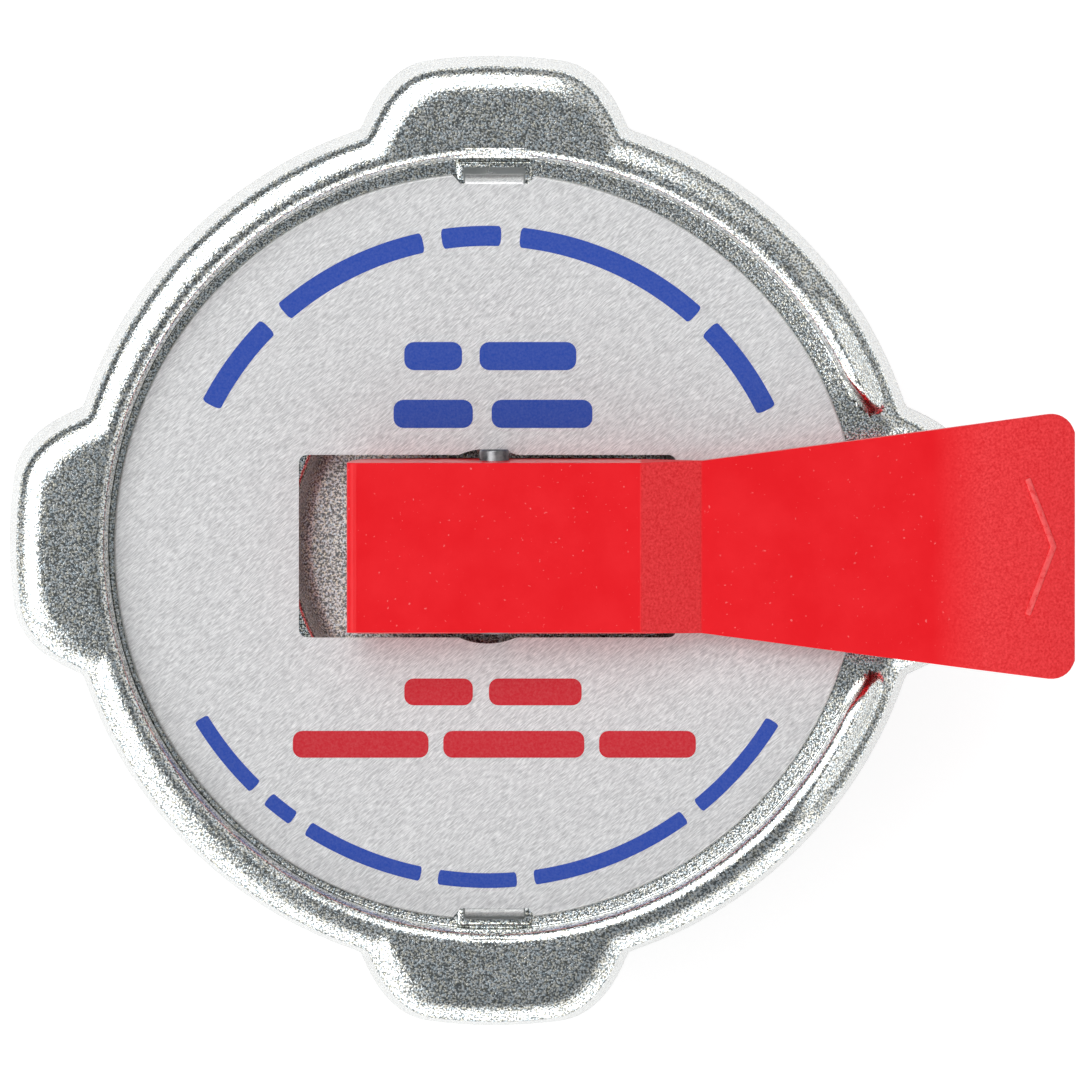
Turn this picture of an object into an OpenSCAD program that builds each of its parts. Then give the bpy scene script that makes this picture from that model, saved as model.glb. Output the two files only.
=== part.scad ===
// Lever-vent pressure cap for a radiator filler neck, in millimetres.
// The origin is the centre of the ring that seats on the neck's lip. +Z is up, and the lever's tip points along +X.
// The lever's heel is a cam: lifting the tip draws the stem up, and the stem's foot lifts the pressure valve.

/* [Shell] */
// Thickness of the stamped sheet
sheet = 0.8; // [0.7:0.05:0.9]
// Radius of the skirt's lower edge between the lobes
shell_r = 32.4; // [31.5:0.1:34]
// How far the skirt reaches below the neck seat
skirt_drop = 4.6; // [4.2:0.1:6]
// How much the skirt leans out on its way down
skirt_draft = 0.7; // [0.4:0.05:1]
// How far a lobe stands out from the round skirt
lobe_reach = 3.9; // [2.5:0.1:5]
// Width across a lobe's tip
lobe_tip_w = 10.1; // [7:0.1:13]
// Width of a lobe where it runs out into the skirt
lobe_foot_w = 20.2; // [18:0.1:25]
// How square a lobe's corners are, where 1 runs out evenly and less is squarer
lobe_square = 0.6; // [0.5:0.05:1]
// Radius of the rounded shoulder between bead and skirt
shoulder_r = 1.6; // [1:0.05:1.8]
// Width of the bead's flat crown between the lobes
crown_w = 0.8; // [0.75:0.05:1.2]
// How far the bead's inner wall leans out
bead_lean = 0.5; // [0.4:0.05:1]
// Height of the bead above the recessed panel
bead_rise = 3.4; // [2.5:0.1:4.2]
// Angle left open in the bead for the lever
gap_deg = 43; // [40:1:50]
// Angle over which the bead's end slopes down
nose_deg = 7; // [5:0.5:9]
// Radius of the central well at its rim
well_r = 15.05; // [14.6:0.05:15.6]
// How far the well's wall leans in
well_lean = 0.75; // [0.6:0.05:1.3]
// Depth of the well below the panel
well_depth = 3.7; // [3.3:0.1:4.2]
// Depth of the seat that sinks the bush's head below the well's floor
sink_depth = 0.6; // [0.55:0.05:0.8]

/* [Cam tabs] */
// Inner radius of the two tabs that hook under the filler neck's cams
tab_r = 26.6; // [26:0.1:27.2]
// Angle of one tab
tab_deg = 28; // [20:1:36]

/* [Name plate] */
// Thickness of the plate
plate_t = 0.6; // [0.4:0.05:0.8]
// Gap between the plate's rim and the bead
plate_gap = 1; // [0.8:0.05:1.3]
// How far the plate lies to the rear, within its play
plate_back = 0.5; // [0:0.05:0.6]
// Length of the slot that the lever works through
slot_l = 28.1; // [27.6:0.1:29]
// Clearance between the slot and each side of the lever
slot_gap = 0.3; // [0.25:0.05:0.6]
// Width of the shallow bow in each long side, at the pin
bow_w = 4.3; // [3.5:0.1:6]
// Depth of that bow
bow_d = 0.45; // [0.3:0.05:0.6]
// Width of the two tongues that hold the plate
tongue_w = 4.35; // [3.5:0.05:5]
// Width of the relief notch on each side of a tongue
notch_w = 0.7; // [0.5:0.05:1]
// Length of the part of a tongue that is folded under the panel
tongue_fold = 1.8; // [1.2:0.1:2.5]
// Inner radius of a tongue's bends
bend_r = 0.3; // [0.2:0.05:0.4]

/* [Lever] */
// Width of the lever's hub at the bottom
hub_w = 13; // [12:0.1:13.6]
// How much each side of the hub leans in on its way up
hub_draft = 0.2; // [0.1:0.05:0.5]
// Height of the hub's top above the pin
hub_rise = 3.6; // [3.4:0.1:4.2]
// Distance from the pin to the lever's rear end
lever_back = 10.95; // [10.6:0.05:11.4]
// Distance from the pin to the lever's tip
lever_front = 43.2; // [41:0.1:46]
// Distance from the pin to where the hub's top starts to slope down
slope_start = 10.9; // [9:0.1:11.5]
// Distance from the pin to where the slope meets the arm
slope_end = 15.4; // [14.5:0.1:17]
// Height of the arm's top above the pin
arm_rise = 1; // [0.6:0.1:1.4]
// Thickness of the arm
arm_t = 2.7; // [2.4:0.05:2.8]
// Width of the lever at its tip
tip_w = 20.2; // [18:0.1:22]
// Radius of the tip's corners
tip_corner_r = 2; // [1:0.1:3]
// Distance from the pin to where the tip starts to curve down
tip_start = 32.8; // [30:0.1:35]
// How far the tip curves down
tip_drop = 2.2; // [1:0.1:3]
// Thickness of the moulded walls
lever_wall = 1.3; // [1.1:0.05:1.5]
// Depth of the pocket under the arm
pocket_d = 1.2; // [0.8:0.05:1.4]
// How far the lever and its pin lie to one side, within their play
lever_side = 0.2; // [0:0.05:0.3]

/* [Pin and stem] */
// Height of the pin's axis above the well's floor
pin_rise = 6.3; // [6:0.05:6.6]
// Radius of the pin
pin_r = 1.1; // [0.9:0.05:1.2]
// How far the pin stands out of the hub on the side where its end shows
pin_out = 0.75; // [0.4:0.05:1]
// Radius of the stem
stem_r = 2; // [1.8:0.05:2.2]
// Wall of the stem's eye round the pin
eye_wall = 1.1; // [0.9:0.05:1.15]
// Length of the eye along the pin
eye_l = 5; // [4:0.1:6]
// Radius of the stem's foot
foot_r = 4.6; // [4:0.1:5]
// Thickness of the stem's foot
foot_t = 1.2; // [0.8:0.1:1.6]

/* [Seat stack] */
// Thickness of the neck gasket
neck_gasket_t = 1.2; // [1:0.05:1.6]
// Room between the neck gasket's rim and the skirt's lower edge
skirt_room = 4.1; // [3.8:0.1:4.8]
// How far the gasket's seat ring stands below its clamped margin
seat_rib = 0.3; // [0.2:0.05:0.4]
// Thickness of the spring diaphragm
diaphragm_t = 0.3; // [0.2:0.05:0.4]
// How far the diaphragm reaches past the neck gasket
diaphragm_over = 0.3; // [0.1:0.05:0.6]

/* [Bush] */
// Outer radius of the bush
bush_r = 3.8; // [3.6:0.05:4]
// Radius of the bush's head
bush_head_r = 5; // [4.6:0.05:5.2]
// Thickness of the head and of the riveted-over end
bush_head_t = 0.5; // [0.4:0.05:0.5]
// Section radius of the ring that seals the stem
seal_ring_r = 0.45; // [0.35:0.05:0.5]

/* [Spring bell] */
// Thickness of the bell's sheet
bell_t = 0.7; // [0.6:0.05:0.8]
// Outer radius of the bell's wall
bell_r = 19.2; // [18.8:0.1:19.6]
// How far the bell reaches below the neck seat
bell_drop = 9.4; // [8.5:0.1:9.6]
// Radius of the vent holes in the bell's wall
vent_r = 2.3; // [1.5:0.1:2.6]
// Number of vent holes
vent_count = 6; // [4:1:8]

/* [Main spring] */
// Thickness of the main spring's wire
wire_d = 2; // [1.6:0.1:2.2]
// Number of turns of the main spring
main_turns = 4.5; // [3.5:0.5:5]

/* [Pressure valve] */
// Distance from the neck seat to the face of the pressure gasket
reach = 21; // [20.6:0.1:22]
// Outer radius of the pressure gasket
gasket_r = 20.5; // [20:0.1:21.5]
// Thickness of the pressure gasket's sealing ring
gasket_t = 3.3; // [3.2:0.1:3.8]
// Inner radius of the sealing ring
gasket_ring_r = 13.5; // [12.5:0.1:15]
// Thickness of the gasket's clamped margin
margin_t = 1; // [0.8:0.05:1.2]
// Thickness of the valve plate
valve_t = 0.9; // [0.7:0.05:1.1]
// How far the gasket reaches past the valve plate
gasket_over = 0.9; // [0.5:0.1:1.3]
// Height of the ridge that centres the main spring
ridge_h = 0.6; // [0.4:0.05:0.8]
// Thickness of the gasket retainer
retainer_t = 0.6; // [0.4:0.05:0.8]
// Outer radius of the valve plate's hollow boss
boss_r = 5; // [4.8:0.05:5.3]
// Wall of the boss
boss_wall = 0.8; // [0.6:0.05:0.9]
// Width of the boss's turned-over lip
lip_w = 1; // [0.8:0.05:1.2]
// Thickness of that lip
lip_t = 0.4; // [0.3:0.05:0.5]
// Travel of the valve against the main spring
valve_travel = 2; // [1:0.1:2.2]

/* [Lift cage] */
// Thickness of the cage's sheet
cage_t = 0.7; // [0.6:0.05:0.8]
// Width of the cage's foot flange
cage_flange = 2.4; // [1.5:0.1:3]
// Width of each window in the cage
window_w = 5; // [3:0.1:6]

/* [Vacuum valve] */
// Radius of the vacuum valve's disc
button_r = 6.8; // [6.6:0.1:7.5]
// Thickness of the disc
button_t = 0.5; // [0.4:0.05:0.6]
// Radius of the vacuum valve's stem
button_stem_r = 1.2; // [1:0.05:1.3]
// Thickness of the rubber seal on the disc
button_seal_t = 0.5; // [0.4:0.05:0.6]
// Free height of the vacuum spring as fitted
vacuum_spring_h = 3.2; // [2.8:0.1:3.4]
// Thickness of the vacuum spring's wire
vacuum_wire_d = 0.45; // [0.35:0.05:0.5]
// Number of turns of the vacuum spring
vacuum_turns = 3.5; // [3:0.5:4.5]
// Radius of the clip on the vacuum valve's stem
clip_r = 2.9; // [2.5:0.1:3.2]
// Thickness of the clip
clip_t = 0.5; // [0.4:0.05:0.6]

/* [Hidden] */

$fn = 96;
eps = 0.01;
// Radial play of the pin in the eye, of pressed pins and of fitted rings
run_play = 0.05;
press_play = 0.02;
fit_play = 0.1;
slide_play = 0.15;
// Gap kept where two pieces lie against each other and move apart
rest_gap = 0.1;
// Gap between the lever's heel and the well's floor
heel_gap = 0.15;
// Gap between a spring's end coils and their seats
coil_gap = 0.05;

// Heights of the seat stack and the shell
diaphragm_z = neck_gasket_t;
floor_low_z = diaphragm_z + diaphragm_t;
floor_z = floor_low_z + sheet;
sink_z = floor_z - sink_depth;
panel_z = floor_z + well_depth;
plate_top_z = panel_z + plate_t;
pin_z = floor_z + pin_rise;

// Outer radius of the neck gasket
neck_gasket_r = shell_r - skirt_room;

// Radii of the shell's pan and bead
bush_hole_r = bush_r + run_play;
sink_r = bush_head_r + 3 * fit_play;
sink_slope = 0.5;
well_floor_r = well_r - well_lean;
shoulder_in = skirt_draft + shoulder_r;
recess_r = shell_r - shoulder_in - crown_w - bead_lean;
plate_r = recess_r - plate_gap;
lobe_tip_deg = asin(lobe_tip_w / 2 / (shell_r + lobe_reach));
lobe_foot_deg = asin(lobe_foot_w / 2 / shell_r);
// Share of a drawn-in distance that comes off each side of a lobe, which keeps the sheet's thickness on its flanks
flank_share = 0.36;
corner_cut = 0.55;
tab_angles = [45, 225];

// The tongues' vertical leg, set in from the plate's rim, and the slots for it in the panel
tongue_set = 0.1;
tongue_in_r = plate_r - plate_t - bend_r - tongue_set;
tongue_leg_r = tongue_in_r + bend_r;
tongue_slot_w = tongue_w + 2 * (plate_back + fit_play);
tongue_slot_low = tongue_leg_r - lever_side - fit_play;
tongue_slot_high = tongue_leg_r + plate_t + lever_side + fit_play;
slot_lip = 0.25;

// The lever's cam: the heel's distance from the pin grows evenly with the angle, up to the rear end
heel_h = pin_rise - heel_gap;
cam_k = (lever_back - heel_h) / (PI / 2);
slot_w = hub_w + 2 * slot_gap;
arm_low = arm_rise - arm_t;
cheek_front = slope_start - lever_wall - fit_play;
eye_r = pin_r + run_play + eye_wall;
hub_roof = eye_r + rest_gap;
tip_run = lever_front - tip_start;
tip_arc_r = (tip_run * tip_run + tip_drop * tip_drop) / (2 * tip_drop);
tip_arc_deg = asin(tip_run / tip_arc_r);

// Heights of the bell, and the width of its shoulder that takes the main spring's end coil
coil_room = wire_d + 1.6;
bell_hole_r = bush_hole_r;
bell_centre_z = diaphragm_z;
bell_sink_z = floor_low_z - sink_depth;
bell_shoulder_z = seat_rib;
gasket_in_r = bell_r - coil_room;
bell_step_r = gasket_in_r - 3 * fit_play;
bush_low_z = bell_sink_z - bell_t;
bush_bore_r = stem_r + fit_play;
seal_mid_r = stem_r + run_play + seal_ring_r;
seal_z = (sink_z + bush_low_z) / 2;

// Heights of the pressure valve, from its sealing face up
valve_low_z = gasket_t - reach;
valve_top_z = valve_low_z + valve_t;
retainer_z = valve_low_z - margin_t - retainer_t;
lip_z = retainer_z - lip_t;
button_seal_z = lip_z - button_seal_t;
button_z = button_seal_z - button_t;
valve_r = gasket_r - gasket_over;
boss_bore_r = boss_r - boss_wall;
guide_r = button_stem_r + slide_play;
retainer_out_r = gasket_ring_r - 3 * fit_play;

// Heights inside the lift cage, and the end of the vacuum valve's stem past its clip
button_end = 0.7;
clip_z = valve_top_z + vacuum_spring_h;
button_top_z = clip_z + clip_t + button_end;
foot_z = button_top_z + valve_travel + 2 * rest_gap;
cage_roof_z = foot_z + foot_t + rest_gap;
cage_r = foot_r + 8 * fit_play;

// The main spring stands between the bell's shoulder and the valve plate
spring_top_z = bell_shoulder_z - bell_t - coil_gap;
spring_low_z = valve_top_z + coil_gap;
spring_r = (bell_step_r - bell_t + bell_r - bell_t) / 2;

// Smooth step from 0 to 1
function smooth(s) = let (c = min(max(s, 0), 1)) c * c * (3 - 2 * c);

// Angle from the nearest lobe, and from the lever's direction
function from_lobe(a) = abs(a - 90 * round(a / 90));
function from_lever(a) = abs(a - 360 * round(a / 360));

// Radius at angle a of the lobed outline of the skirt's lower edge, drawn in by d
function outline_r(a, d) =
    let (
        in_w = 2 * d * flank_share,
        tip_deg = asin((lobe_tip_w - in_w) / 2 / (shell_r + lobe_reach - d)),
        foot_deg = asin((lobe_foot_w - in_w) / 2 / (shell_r - d))
    )
    shell_r - d + lobe_reach * smooth(pow(max(foot_deg - from_lobe(a), 0) / (foot_deg - tip_deg), lobe_square));

// 1 where the bead stands at full height, 0 in the gap for the lever
function bead_part(a) = smooth((from_lever(a) - (gap_deg - nose_deg) / 2) / nose_deg);

// A corner softened to three points, cut back by c along both edges
function soft(p, q, r, c) =
    let (a = q + c * (p - q) / norm(p - q), b = q + c * (r - q) / norm(r - q))
    [a, (a + 2 * q + b) / 4, b];

// Corner points of the pan and bead as [radius, height], for a bead of height h, on the upper face
function pan_corners(h) = [
    [bush_r - 1, sink_z],
    [sink_r, sink_z],
    [sink_r + sink_slope, floor_z],
    [well_floor_r, floor_z],
    [well_r, panel_z],
    [recess_r, panel_z],
    [recess_r + bead_lean, panel_z + h]
];

// The same corners on the lower face, one sheet away along the section's normal
function turn(p) = [-p.y, p.x] / norm(p);
function lower_corner(p, q, r) =
    let (n1 = turn(q - p), n2 = turn(r - q), m = n1 + n2)
    q - sheet * 2 * m / (m * m);

// A list of angles from a to b, crowded towards both ends
function crowded(a, b, n) = [for (i = [0 : n - 1]) let (s = i / n) a + (b - a) * (s - 0.6 * sin(360 * s) / (2 * PI))];
function even(a, b, n) = [for (i = [0 : n - 1]) a + (b - a) * i / n];

// Stations round the shell, closest where the outline and the bead change
stations = [for (q = [0 : 3]) each [
    for (a = even(-lobe_tip_deg, lobe_tip_deg, 4)) 90 * q + a,
    for (a = even(lobe_tip_deg, lobe_foot_deg, 9)) 90 * q + a,
    for (a = crowded(lobe_foot_deg, 90 - lobe_foot_deg, 16)) 90 * q + a,
    for (a = even(90 - lobe_foot_deg, 90 - lobe_tip_deg, 9)) 90 * q + a
]];

// One closed section of the sheet at angle a, as points in space
shoulder_steps = 3;
function on_circle(a, p) = [p.x * cos(a), p.x * sin(a), p.y];
function on_outline(a, p) = on_circle(a, [outline_r(a, p.x), p.y]);
function section(a) =
    let (
        h = bead_rise * bead_part(a),
        c = pan_corners(h),
        bead_cut = min(corner_cut, 0.45 * norm(c[6] - c[5])),
        crown = [recess_r + bead_lean + 1, panel_z + h],
        out = [each c, crown],
        shoulder_z = panel_z + h - shoulder_r,
        upper = [
            c[0], c[1], c[2],
            each soft(c[2], c[3], c[4], corner_cut),
            each soft(c[3], c[4], c[5], corner_cut),
            each soft(c[4], c[5], c[6], bead_cut),
            each soft(c[5], c[6], crown, bead_cut)
        ],
        lower = [
            [c[0].x, c[0].y - sheet],
            for (i = [1 : len(c) - 1]) lower_corner(out[i - 1], out[i], out[i + 1])
        ],
        turns = [for (i = [0 : shoulder_steps]) 90 * i / shoulder_steps],
        over = [for (t = turns) [shoulder_in - shoulder_r * sin(t), shoulder_z + shoulder_r * cos(t)]],
        under_r = shoulder_r - sheet,
        under = [for (t = turns) [shoulder_in - under_r * sin(t), shoulder_z + under_r * cos(t)]]
    )
    [
        for (p = upper) on_circle(a, p),
        for (p = over) on_outline(a, p),
        on_outline(a, [0, -skirt_drop]),
        on_outline(a, [sheet, -skirt_drop]),
        for (i = [shoulder_steps : -1 : 0]) on_outline(a, under[i]),
        for (i = [len(lower) - 1 : -1 : 0]) on_circle(a, lower[i])
    ];

// A closed ring or an open tube through sections that all have the same number of points
module loft(sections, closed) {
    n = len(sections);
    m = len(sections[0]);
    last = closed ? n - 1 : n - 2;
    sides = [
        for (i = [0 : last], j = [0 : m - 1])
            let (a = i * m + j, b = i * m + (j + 1) % m, c = ((i + 1) % n) * m + j,
                 d = ((i + 1) % n) * m + (j + 1) % m)
            each [[a, d, b], [a, c, d]]
    ];
    ends = closed ? [] : [[for (j = [0 : m - 1]) j], [for (j = [m - 1 : -1 : 0]) (n - 1) * m + j]];
    polyhedron([for (s = sections) each s], [each sides, each ends], convexity = 8);
}

// A coil of round wire about Z between two heights, with its end turns closed
module coil(mid_r, wire, low, high, turns, per_turn, sides) {
    n = round(turns * per_turn);
    free = high - low - wire;
    end_turn = 0.75;
    flat = wire * 1.02 * end_turn;
    function rise(t) =
        t < end_turn ? flat * t / end_turn :
        t > turns - end_turn ? free - flat * (turns - t) / end_turn :
        flat + (free - 2 * flat) * (t - end_turn) / (turns - 2 * end_turn);
    loft([
        for (i = [0 : n])
            let (t = turns * i / n, a = 360 * t, z = low + wire / 2 + rise(t))
            [for (j = [0 : sides - 1])
                let (b = -360 * j / sides, r = mid_r + wire / 2 * cos(b))
                [r * cos(a), r * sin(a), z + wire / 2 * sin(b)]]
    ], false);
}

// A flat ring between two radii and two heights
module ring(out_r, in_r, low, high) {
    translate([0, 0, low])
        linear_extrude(high - low)
            difference() {
                circle(out_r);
                circle(in_r);
            }
}

// Raised lip on three sides of a tongue's slot, left by piercing it
module slot_lips() {
    for (side = [0, 180])
        rotate(side)
            translate([0, 0, panel_z - eps])
                linear_extrude(slot_lip)
                    difference() {
                        translate([-tongue_slot_w / 2 - slot_lip, tongue_slot_low - 2 * slot_lip])
                            square([tongue_slot_w + 2 * slot_lip, tongue_slot_high - tongue_slot_low + 3 * slot_lip]);
                        translate([-tongue_slot_w / 2, tongue_slot_low - 3 * slot_lip])
                            square([tongue_slot_w, tongue_slot_high - tongue_slot_low + 3 * slot_lip]);
                    }
}

// Tabs bent in from the skirt's lower edge
module cam_tabs() {
    for (a = tab_angles)
        rotate(a - tab_deg / 2)
            rotate_extrude(angle = tab_deg)
                translate([tab_r, -skirt_drop + 0.05])
                    square([shell_r - sheet / 2 - tab_r, sheet]);
}

module shell() {
    color("silver")
        difference() {
            union() {
                loft([for (a = stations) section(a)], true);
                cam_tabs();
                slot_lips();
            }
            cylinder(r = bush_hole_r, h = floor_z + eps);
            for (side = [0, 180])
                rotate(side)
                    translate([-tongue_slot_w / 2, tongue_slot_low, panel_z - 2 * sheet])
                        cube([tongue_slot_w, tongue_slot_high - tongue_slot_low, 3 * sheet]);
        }
}

// Side view of one tongue, from the plate over its edge and folded back under the panel
module tongue_profile() {
    top = panel_z - bend_r;
    low = panel_z - sheet - rest_gap;
    out_r = bend_r + plate_t;
    upper = [for (i = [0 : 6]) let (a = 90 - 15 * i) [cos(a), sin(a)]];
    lower = [for (i = [0 : 6]) let (a = -15 * i) [cos(a), sin(a)]];
    polygon([
        [tongue_in_r - plate_t, plate_top_z],
        for (u = upper) [tongue_in_r, top] + out_r * u,
        for (u = lower) [tongue_in_r, low] + out_r * u,
        [tongue_in_r - tongue_fold, low - out_r],
        [tongue_in_r - tongue_fold, low - bend_r],
        for (i = [6 : -1 : 0]) [tongue_in_r, low] + bend_r * lower[i],
        for (i = [6 : -1 : 0]) [tongue_in_r, top] + bend_r * upper[i],
        [tongue_in_r - plate_t, panel_z]
    ]);
}

module slot_outline() {
    corner = 0.6;
    bow_r = (bow_w * bow_w / 4 + bow_d * bow_d) / (2 * bow_d);
    for (x = [-1, 1], y = [-1, 1])
        translate([x * (slot_l / 2 - corner), y * (slot_w / 2 - corner)])
            circle(corner);
    square([slot_l - 2 * corner, slot_w], center = true);
    square([slot_l, slot_w - 2 * corner], center = true);
    for (y = [-1, 1])
        translate([0, y * (slot_w / 2 + bow_d - bow_r)])
            circle(bow_r);
}

module name_plate() {
    color("gainsboro")
        translate([-plate_back, -lever_side, 0]) {
            translate([0, 0, panel_z])
                linear_extrude(plate_t)
                    difference() {
                        circle(plate_r);
                        slot_outline();
                        for (y = [-1, 1])
                            translate([plate_back, y * (tongue_in_r + plate_gap)])
                                square([tongue_w + 2 * notch_w, 2 * plate_gap], center = true);
                    }
            for (side = [0, 1])
                mirror([0, side, 0])
                    translate([plate_back - tongue_w / 2, 0, 0])
                        rotate([90, 0, 90])
                            linear_extrude(tongue_w)
                                tongue_profile();
        }
}

// Side view of the lever about the pin's axis, with the cam heel as the involute of a circle
function heel_point(f) =
    let (h = heel_h + cam_k * f * PI / 180)
    [-h * sin(f) - cam_k * cos(f), -h * cos(f) + cam_k * sin(f)];
function tip_point(f, r) = [tip_start + r * sin(f), arm_rise - tip_arc_r + r * cos(f)];
module lever_profile() {
    low_r = tip_arc_r - arm_t;
    edge = 0.3;
    polygon([
        [cheek_front, -heel_h],
        for (i = [0 : 12]) heel_point(90 * i / 12),
        [-lever_back, hub_rise - edge],
        [-lever_back + edge, hub_rise],
        [slope_start, hub_rise],
        [slope_end, arm_rise],
        for (i = [0 : 6]) tip_point(tip_arc_deg * i / 6, tip_arc_r),
        for (i = [6 : -1 : 0]) tip_point(tip_arc_deg * i / 6, low_r),
        [cheek_front + 1, arm_low]
    ]);
}

// Plan of the lever: a straight hub and a flared arm with rounded tip corners
module lever_plan() {
    steps = 8;
    half = hub_w / 2 - hub_draft / 2;
    flare = atan((tip_w / 2 - half) / (lever_front - slope_end));
    corner = [lever_front - tip_corner_r, tip_w / 2 - tip_corner_r];
    side = [
        [-lever_back, hub_w / 2],
        [slope_end - 1, hub_w / 2],
        [slope_end, half],
        for (i = [0 : steps])
            let (a = (90 + flare) * (1 - i / steps))
            corner + tip_corner_r * [cos(a), sin(a)]
    ];
    polygon([each side, for (i = [len(side) - 1 : -1 : 0]) [side[i].x, -side[i].y]]);
}

// Pocket under the arm, inside its walls, with ribs left standing
module arm_pocket() {
    ribs = 3;
    rib_t = 1;
    start = slope_end + 0.5;
    low_half = hub_w / 2 - lever_wall;
    high_half = tip_w / 2 - lever_wall - 1.4;
    end = tip_start + 1;
    translate([0, 0, arm_low - 1])
        linear_extrude(1 + pocket_d)
            difference() {
                polygon([[start, low_half], [end, high_half], [end, -high_half], [start, -low_half]]);
                for (i = [0 : ribs - 1])
                    translate([start - 1, (i - 1) * low_half * 0.62 - rib_t / 2])
                        square([end - start + 2, rib_t]);
            }
}

// Hollow inside the hub, open below, with a slot at the rear for the stem
module hub_hollow() {
    back = lever_back - lever_wall;
    front = cheek_front - lever_wall;
    half = hub_w / 2 - lever_wall;
    stem_half = stem_r + 0.25;
    translate([-back, -half, -heel_h - 1])
        cube([back + front, 2 * half, heel_h + 1 + hub_roof]);
    translate([-lever_back - 1, -stem_half, -heel_h - 1])
        cube([lever_back, 2 * stem_half, heel_h + 1 + stem_half]);
}

// Bosses that carry the pin from the hub's walls in to the stem's eye
module pin_bosses() {
    boss_in = eye_l / 2 + 0.3;
    boss_l = hub_w / 2 - lever_wall / 2 - boss_in;
    for (y = [-1, 1])
        translate([0, y * (boss_in + boss_l / 2), 0])
            rotate([90, 0, 0])
                cylinder(r = eye_r, h = boss_l, center = true);
}

module lever() {
    color("red")
        translate([0, -lever_side, pin_z])
            difference() {
                union() {
                    difference() {
                        intersection() {
                            rotate([90, 0, 0])
                                linear_extrude(2 * tip_w, center = true)
                                    lever_profile();
                            translate([0, 0, -2 * heel_h])
                                linear_extrude(4 * heel_h)
                                    lever_plan();
                            union() {
                                rotate([90, 0, 90])
                                    translate([0, 0, -2 * lever_back])
                                        linear_extrude(2 * lever_back + slope_end)
                                            polygon([
                                                [-hub_w / 2, -heel_h - 1], [hub_w / 2, -heel_h - 1],
                                                [hub_w / 2, arm_low], [hub_w / 2 - hub_draft, hub_rise],
                                                [-hub_w / 2 + hub_draft, hub_rise], [-hub_w / 2, arm_low]
                                            ]);
                                translate([slope_end - 0.1, -tip_w, -heel_h])
                                    cube([lever_front, 2 * tip_w, 2 * heel_h]);
                            }
                        }
                        hub_hollow();
                    }
                    pin_bosses();
                }
                rotate([90, 0, 0])
                    cylinder(r = pin_r + press_play, h = 2 * hub_w, center = true);
                arm_pocket();
            }
}

module pivot_pin() {
    chamfer = 0.15;
    flush_end = hub_w / 2;
    shown_end = flush_end + pin_out;
    color("dimgray")
        translate([0, -lever_side, pin_z])
            rotate([90, 0, 0])
                rotate_extrude()
                    polygon([
                        [0, -shown_end], [pin_r - chamfer, -shown_end], [pin_r, -shown_end + chamfer],
                        [pin_r, flush_end - chamfer], [pin_r - chamfer, flush_end], [0, flush_end]
                    ]);
}

module stem() {
    color("darkgray")
        difference() {
            union() {
                translate([0, 0, foot_z])
                    cylinder(r = foot_r, h = foot_t);
                translate([0, 0, foot_z + foot_t / 2])
                    cylinder(r = stem_r, h = pin_z - foot_z - foot_t / 2);
                translate([0, 0, pin_z])
                    rotate([90, 0, 0])
                        cylinder(r = eye_r, h = eye_l, center = true);
            }
            translate([0, 0, pin_z])
                rotate([90, 0, 0])
                    cylinder(r = pin_r + run_play, h = 2 * eye_l, center = true);
        }
}

module centre_bush() {
    groove_r = seal_mid_r + seal_ring_r + press_play;
    groove_h = seal_ring_r + 0.1;
    color("darkkhaki")
        rotate_extrude()
            polygon([
                [bush_bore_r, bush_low_z - bush_head_t], [bush_head_r, bush_low_z - bush_head_t],
                [bush_head_r, bush_low_z], [bush_r, bush_low_z],
                [bush_r, sink_z], [bush_head_r, sink_z],
                [bush_head_r, sink_z + bush_head_t], [bush_bore_r, sink_z + bush_head_t],
                [bush_bore_r, seal_z + groove_h], [groove_r, seal_z + groove_h],
                [groove_r, seal_z - groove_h], [bush_bore_r, seal_z - groove_h]
            ]);
}

module stem_seal() {
    color("black")
        translate([0, 0, seal_z])
            rotate_extrude()
                translate([seal_mid_r, 0])
                    circle(seal_ring_r, $fn = 32);
}

module diaphragm() {
    color("lightsteelblue")
        ring(neck_gasket_r + diaphragm_over, sink_r + sink_slope + sheet, diaphragm_z, diaphragm_z + diaphragm_t);
}

module neck_gasket() {
    rib_in_r = bell_r + 0.9;
    color("#222222")
        rotate_extrude()
            polygon([
                [gasket_in_r, seat_rib], [rib_in_r - seat_rib, seat_rib], [rib_in_r, 0],
                [neck_gasket_r, 0], [neck_gasket_r, neck_gasket_t], [gasket_in_r, neck_gasket_t]
            ]);
}

module spring_bell() {
    slope = 0.5;
    bell_in_r = bell_r - bell_t;
    step_in_r = bell_step_r - bell_t;
    sink_out_r = sink_r + sink_slope;
    color("lightgray")
        difference() {
            rotate_extrude()
                polygon([
                    [bell_hole_r, bell_sink_z], [sink_out_r, bell_sink_z], [sink_out_r + slope, bell_centre_z],
                    [bell_step_r - slope, bell_centre_z], [bell_step_r, bell_centre_z - slope],
                    [bell_step_r, bell_shoulder_z], [bell_r - slope, bell_shoulder_z],
                    [bell_r, bell_shoulder_z - slope], [bell_r, -bell_drop + slope], [bell_r + slope, -bell_drop],
                    [bell_in_r + slope, -bell_drop], [bell_in_r, -bell_drop + slope],
                    [bell_in_r, bell_shoulder_z - bell_t], [step_in_r, bell_shoulder_z - bell_t],
                    [step_in_r, bell_centre_z - bell_t], [sink_out_r + slope, bell_centre_z - bell_t],
                    [sink_out_r, bush_low_z], [bell_hole_r, bush_low_z]
                ]);
            for (i = [0 : vent_count - 1])
                rotate(360 * i / vent_count + 30)
                    translate([bell_r - 2 * bell_t, 0, -bell_drop * 0.55])
                        rotate([0, 90, 0])
                            cylinder(r = vent_r, h = 4 * bell_t);
        }
}

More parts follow.
